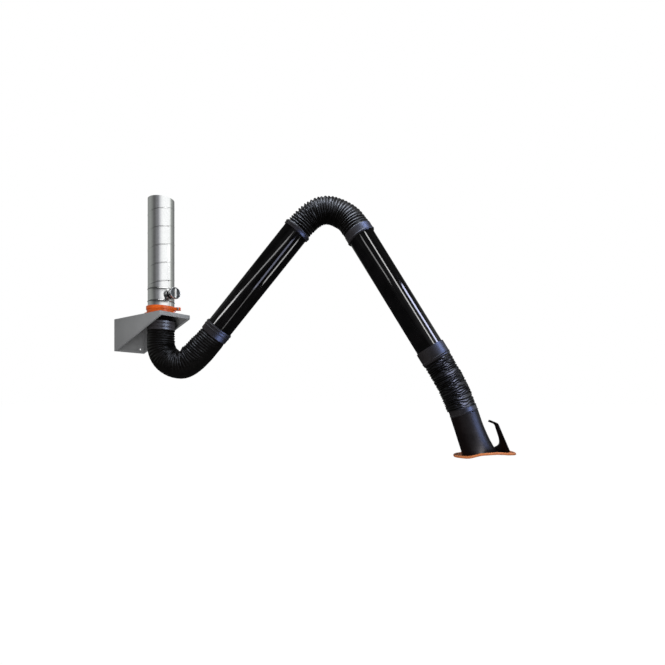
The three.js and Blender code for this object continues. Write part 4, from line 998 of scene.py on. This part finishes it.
def damper_grip():
    """The bar across the dial."""
    _, high, _, _ = span("damper_dial", DAMPER)
    outline = []
    for angle in around(DIAL_SIDES):
        along = math.copysign(abs(math.cos(angle)) ** GRIP_END_ROUNDNESS, math.cos(angle))
        across = math.copysign(abs(math.sin(angle)) ** GRIP_SIDE_ROUNDNESS, math.sin(angle))
        outline.append((along * GRIP_HALF_LENGTH, across * GRIP_HALF_WIDTH))
    foot = high - DIAL_RECESS - DIAL_SOFTNESS
    top = high + GRIP_RISE
    rows = [(1.0, foot), (1.0, top - DIAL_SOFTNESS), (GRIP_TOP, top), (GRIP_CORE, top), (GRIP_CORE, foot)]
    vertices = []
    for share, height in rows:
        vertices += [DAMPER @ Vector((along * share, across * share, height)) for along, across in outline]
    show_riding("damper_grip", mesh_of("damper_grip", vertices, grid_faces(len(rows), DIAL_SIDES)))


def finish_solids():
    """Every solid takes the finish of its slot, whether it shows or not."""
    for node, solid in frame["nodes"].items():
        solid.data.materials.clear()
        solid.data.materials.append(MATERIALS[NODE_SLOT[node]])
        solid.data.shade_smooth()
        solid.data.set_sharp_from_angle(angle=SHARP_ANGLE)


# Stage: floor, light and camera
def make_floor():
    """A white floor that keeps the object's shadow and is darker in its gloss."""
    mesh = bpy.data.meshes.new("floor")
    half = FLOOR_SIZE / 2
    signs = ((-1, -1), (1, -1), (1, 1), (-1, 1))
    corners = [(x * half, y * half, FLOOR_HEIGHT) for x, y in signs]
    mesh.from_pydata(corners, [], [(0, 1, 2, 3)])
    floor = new_object("floor", mesh)
    material = bpy.data.materials.new("floor")
    material.use_nodes = True
    tree = material.node_tree
    tree.nodes.clear()
    shades = []
    for grey in (FLOOR_GREY, FLOOR_GREY_IN_GLOSS):
        shade = add_node(tree, "ShaderNodeBsdfDiffuse", {"Color": (grey, grey, grey, 1)})
        shades.append(shade.outputs[0])
    glow = add_node(tree, "ShaderNodeEmission", {"Strength": FLOOR_GLOW})
    rays = tree.nodes.new("ShaderNodeLightPath").outputs
    seen = calculated(tree, "MULTIPLY", rays["Is Camera Ray"], FLOOR_GLOW_SHARE)
    lit = mixed(tree, rays["Is Glossy Ray"], *shades)
    output = tree.nodes.new("ShaderNodeOutputMaterial")
    tree.links.new(mixed(tree, seen, lit, glow.outputs[0]), output.inputs["Surface"])
    mesh.materials.append(material)


# What the gloss of the object mirrors: a bright window side and darker walls by azimuth in degrees,
# dimmed above and below the windows by the sine of the elevation
STUDIO_STRENGTH = 1.5
GREENISH = (0.97, 1.0, 0.955)
BLUISH = (0.95, 0.95, 1.0)
NEUTRAL = (1.0, 1.0, 1.0)
STUDIO_WALLS = [
    (-180, 0.24, GREENISH), (-141, 0.28, GREENISH), (-116, 0.20, GREENISH), (-98, 0.10, NEUTRAL),
    (-84, 0.11, NEUTRAL), (-76, 0.18, BLUISH), (-57, 0.22, BLUISH), (-44, 0.60, BLUISH),
    (-30, 0.88, NEUTRAL), (-16, 1.0, NEUTRAL), (44, 1.0, NEUTRAL), (54, 0.66, GREENISH),
    (64, 0.31, GREENISH), (80, 0.26, GREENISH), (100, 0.15, NEUTRAL), (180, 0.24, GREENISH),
]
STUDIO_HEIGHTS = [(-0.10, 0.15), (0.04, 1.0), (0.46, 1.0), (0.62, 0.15)]
AMBIENT_STRENGTH = 0.22
AMBIENT_COLOUR = (0.93, 0.96, 1.0, 1)
WHITE = (1, 1, 1, 1)


def make_world():
    """White behind the object, soft light round it, and a studio of pale and dark walls in its gloss."""
    world = bpy.data.worlds.new("studio")
    world.use_nodes = True
    tree = world.node_tree
    tree.nodes.clear()
    rays = tree.nodes.new("ShaderNodeLightPath").outputs
    direction = tree.nodes.new("ShaderNodeTexCoord")
    split = tree.nodes.new("ShaderNodeSeparateXYZ")
    tree.links.new(direction.outputs["Generated"], split.inputs[0])
    azimuth = calculated(tree, "ARCTAN2", split.outputs["Y"], split.outputs["X"])
    share = between(tree, azimuth, 0.0, 1.0, (-math.pi, math.pi))
    stops = []
    for degrees, level, tint in STUDIO_WALLS:
        stops.append(((degrees + 180) / 360, [level * part for part in tint]))
    walls = ramp(tree, share, stops)
    rise = between(tree, split.outputs["Z"], 0.0, 1.0, (-1, 1))
    bands = ramp(tree, rise, [((height + 1) / 2, (level,) * 3) for height, level in STUDIO_HEIGHTS])
    room = calculated(tree, "MULTIPLY", walls, bands, "ShaderNodeVectorMath")
    shaders = []
    for colour, strength in ((WHITE, 1.0), (WHITE, STUDIO_STRENGTH), (AMBIENT_COLOUR, AMBIENT_STRENGTH)):
        shaders.append(add_node(tree, "ShaderNodeBackground", {"Color": colour, "Strength": strength}))
    seen, gloss, light = shaders
    tree.links.new(room, gloss.inputs["Color"])
    lit = mixed(tree, rays["Is Glossy Ray"], light.outputs[0], gloss.outputs[0])
    direct = calculated(tree, "MAXIMUM", rays["Is Camera Ray"], rays["Is Transmission Ray"])
    output = tree.nodes.new("ShaderNodeOutputWorld")
    tree.links.new(mixed(tree, direct, lit, seen.outputs[0]), output.inputs["Surface"])
    bpy.context.scene.world = world


def add_light(name, spot, target, size, watts, colour, along=UP):
    """A soft panel that faces a target, with its height along a direction, unseen by the camera."""
    light = bpy.data.lights.new(name, "AREA")
    light.shape = "RECTANGLE"
    light.size, light.size_y = size
    light.energy = watts
    light.color = colour
    lamp = new_object(name, light)
    back = spot - target
    lamp.matrix_world = place(spot, along.cross(back), back)
    lamp.visible_camera = False
    return lamp


def mirror_spot(point, along, side, distance):
    """Where a lamp stands to show at a place across a tube: side -1 is its left edge, 1 its right."""
    view = (CAMERA_PLACE - point).normalized()
    facing = (view - along * view.dot(along)).normalized()
    across = aimed(along.cross(facing), CAMERA_HEADING.cross(UP))
    normal = facing * math.sqrt(1 - side * side) + across * side
    return point + (normal * (2 * view.dot(normal)) - view) * distance


def only_on(lamp, pieces):
    """Keeps a lamp's light to some pieces, as a flag does in a studio."""
    group = bpy.data.collections.new(f"{lamp.name}_reach")
    for piece in pieces:
        group.objects.link(bpy.data.objects[piece])
    lamp.light_linking.receiver_collection = group


# Colours of light
BLUE_LIGHT = (0.70, 0.74, 1.0)
EVENING_LIGHT = (0.46, 0.57, 1.0)
SKY_LIGHT = (0.82, 0.89, 1.0)
WHITE_LIGHT = (1.0, 1.0, 1.0)
WARM_LIGHT = (1.0, 0.92, 0.86)

# Panels: the way to each from what it faces and its width and height, in metres, then watts and colour
WINDOW_PANEL = ((3.0, -0.15, 1.2), (1.6, 2.2), 80, SKY_LIGHT)
FILL_PANEL = ((0.9, -2.6, -0.9), (1.8, 2.2), 60, WHITE_LIGHT)
TOP_PANEL = ((0.2, -0.4, 2.6), (2.4, 1.6), 36, WHITE_LIGHT)
CUFF_PANEL = ((1.5, 0.2, -0.1), (0.8, 0.8), 42, SKY_LIGHT)
FLARE_PANEL = ((0.6, -1.65, 1.32), (4.0, 0.6), 330, WARM_LIGHT)
HIGH_PANEL_WAY = (0.4, -0.9, 2.4)
HIGH_PANEL_SIZE = (2.6, 1.0)
HIGH_PANEL_WATTS = {"elbow_hose": 225, "outer_cuff_high": 130, "lower_hose": 55}
WINDOW_SKIPS = ("galvanised", "black_tube", "hood_plastic", "cuff_rubber")
BACK_PANEL = ((-1.8, 2.4, 1.0), (2.4, 2.0), 60, SKY_LIGHT)
BACK_REACHES = ("grey_paint", "orange_paint")

# Lines of light along round pieces: what they follow, shares of its length, places across it,
# width in metres, watts, colour, and the pieces they reach where those are others
INNER_CUFFS = ("inner_cuff_low", "inner_cuff_high")
OUTER_CUFFS = ("outer_cuff_high", "outer_cuff_low")
HOOD_CUFF = ("hood_cuff",)
HOOD_HOSE = ("hood_hose_upper", "hood_hose_lower")
LINES = {
    "inner_line_low": ("inner_tube", (-0.1, 0.30), (-0.53, -0.42), 0.34, 46, WHITE_LIGHT),
    "inner_line_high": ("inner_tube", (0.28, 1.1), (-0.43, -0.14), 0.24, 28, WHITE_LIGHT),
    "inner_band_low": ("inner_tube", (-0.1, 0.5), (0.22, 0.20), 0.26, 7, WHITE_LIGHT),
    "inner_band_high": ("inner_tube", (0.45, 1.1), (0.19, 0.17), 0.50, 24, BLUE_LIGHT),
    "inner_edge": ("inner_tube", (0.55, 1.1), (0.47, 0.50), 0.40, 34, WHITE_LIGHT),
    "outer_line": ("outer_tube", (-0.1, 1.1), (0.40, 0.40), 0.32, 100, WHITE_LIGHT),
    "outer_edge": ("outer_tube", (0.48, 1.1), (0.66, 0.67), 0.60, 130, BLUE_LIGHT),
    "outer_faint": ("outer_tube", (-0.1, 0.4), (-0.02, 0.06), 0.30, 14, WHITE_LIGHT),
    "inner_cuff_glow": ("inner_tube", (-0.2, 1.2), (0.44, 0.40), 1.30, 95, EVENING_LIGHT, INNER_CUFFS),
    "outer_cuff_glow": ("outer_tube", (-0.2, 1.2), (0.58, 0.64), 1.00, 105, EVENING_LIGHT, OUTER_CUFFS),
    "hood_glow": ("hood_shell", (-0.5, 1.1), (0.60, 0.58), 1.50, 105, EVENING_LIGHT),
    "hood_cuff_glow": ("hood_shell", (-0.5, 0.6), (0.50, 0.50), 0.90, 50, EVENING_LIGHT, HOOD_CUFF),
    "hood_hose_glow": ("hood_shell", (-7.0, -3.0), (0.32, 0.32), 1.70, 420, BLUE_LIGHT, HOOD_HOSE),
}
LINE_FRAMES = {"inner_tube": INNER, "outer_tube": OUTER, "hood_shell": HOOD, "spiral_duct": STACK}
LINE_DISTANCE = 2.2
# A white card as wide as the arm looks in the duct, so that the duct mirrors no dark stripe
DUCT_SKIN = ("spiral_duct", "damper_housing")
DUCT_CARD = ("spiral_duct", (-0.5, 0.4), (0.47, 0.47), 0.05, 0.11, WHITE_LIGHT, DUCT_SKIN)
DUCT_CARD_DISTANCE = 0.3


def add_line(name, node, shares, sides, width, watts, colour, reached=(), distance=LINE_DISTANCE):
    """A narrow lamp that draws a line along a round piece, from one share of its length to another."""
    where = LINE_FRAMES[node]
    low, high, _, _ = span(node, where)
    along = axis_of(where)
    points = [axis_point(where, low + (high - low) * share) for share in shares]
    spots = [mirror_spot(point, along, side, distance) for point, side in zip(points, sides)]
    reach = spots[1] - spots[0]
    middle = spots[0] + reach / 2
    target = (points[0] + points[1]) / 2
    line = add_light(name, middle, target, (width, reach.length), watts, colour, reach)
    line.visible_diffuse = False
    only_on(line, [f"{piece}_form" for piece in reached or (node,)])


def add_panel(name, target, way, size, watts, colour):
    """A panel that stands some way off what it faces."""
    return add_light(name, target + Vector(way), target, size, watts, colour)


def make_lights():
    """Window light, a fill, panels above and behind, and lines along the round pieces."""
    centre = (CAD_BOX[0] + CAD_BOX[1]) / 2
    window = add_panel("window_panel", centre, *WINDOW_PANEL)
    only_on(window, [piece for piece, slot in PIECES.items() if slot not in WINDOW_SKIPS])
    fill = add_panel("fill_panel", centre, *FILL_PANEL)
    fill.visible_glossy = False
    add_panel("top_panel", centre, *TOP_PANEL)
    for node, watts in HIGH_PANEL_WATTS.items():
        panel = add_panel(f"{node}_panel", centre, HIGH_PANEL_WAY, HIGH_PANEL_SIZE, watts, SKY_LIGHT)
        only_on(panel, [f"{node}_form"])
    cuff = add_panel("swivel_cuff_panel", end_of("swivel_cuff", SWIVEL, False), *CUFF_PANEL)
    only_on(cuff, ["swivel_cuff_form"])
    flare = add_panel("flare_panel", axis_point(HOOD, MOUTH_LEFT[1] * MM), *FLARE_PANEL)
    flare.visible_diffuse = False
    only_on(flare, ["hood_shell_form"])
    for name, line in LINES.items():
        add_line(name, *line)
    back = add_panel("back_panel", centre, *BACK_PANEL)
    only_on(back, [piece for piece, slot in PIECES.items() if slot in BACK_REACHES])
    add_line("duct_card", *DUCT_CARD, DUCT_CARD_DISTANCE)


def make_camera():
    """A level camera whose picture is shifted to the photograph's horizon."""
    camera = bpy.data.cameras.new("camera")
    camera.sensor_width = SENSOR
    camera.lens = SENSOR * FOCAL_PIXELS / FRAME_PIXELS
    camera.shift_y = (HORIZON_ROW - FRAME_PIXELS / 2) / FRAME_PIXELS
    holder = new_object("camera", camera)
    holder.location = CAMERA_PLACE
    holder.rotation_euler = CAMERA_HEADING.to_track_quat("-Z", "Y").to_euler()
    bpy.context.scene.camera = holder
    bpy.context.scene.view_settings.view_transform = "Standard"


make_camera()
make_floor()
make_world()
finish_solids()
bracket_pieces()
damper_housing()
damper_dial()
damper_grip()
spiral_duct()
tube_pieces()
cuff_pieces()
lower_hose()
elbow_hose()
hood_hose()
hood_shell()
hood_rim()
hood_handle()
make_lights()

bpy.context.view_layer.update()
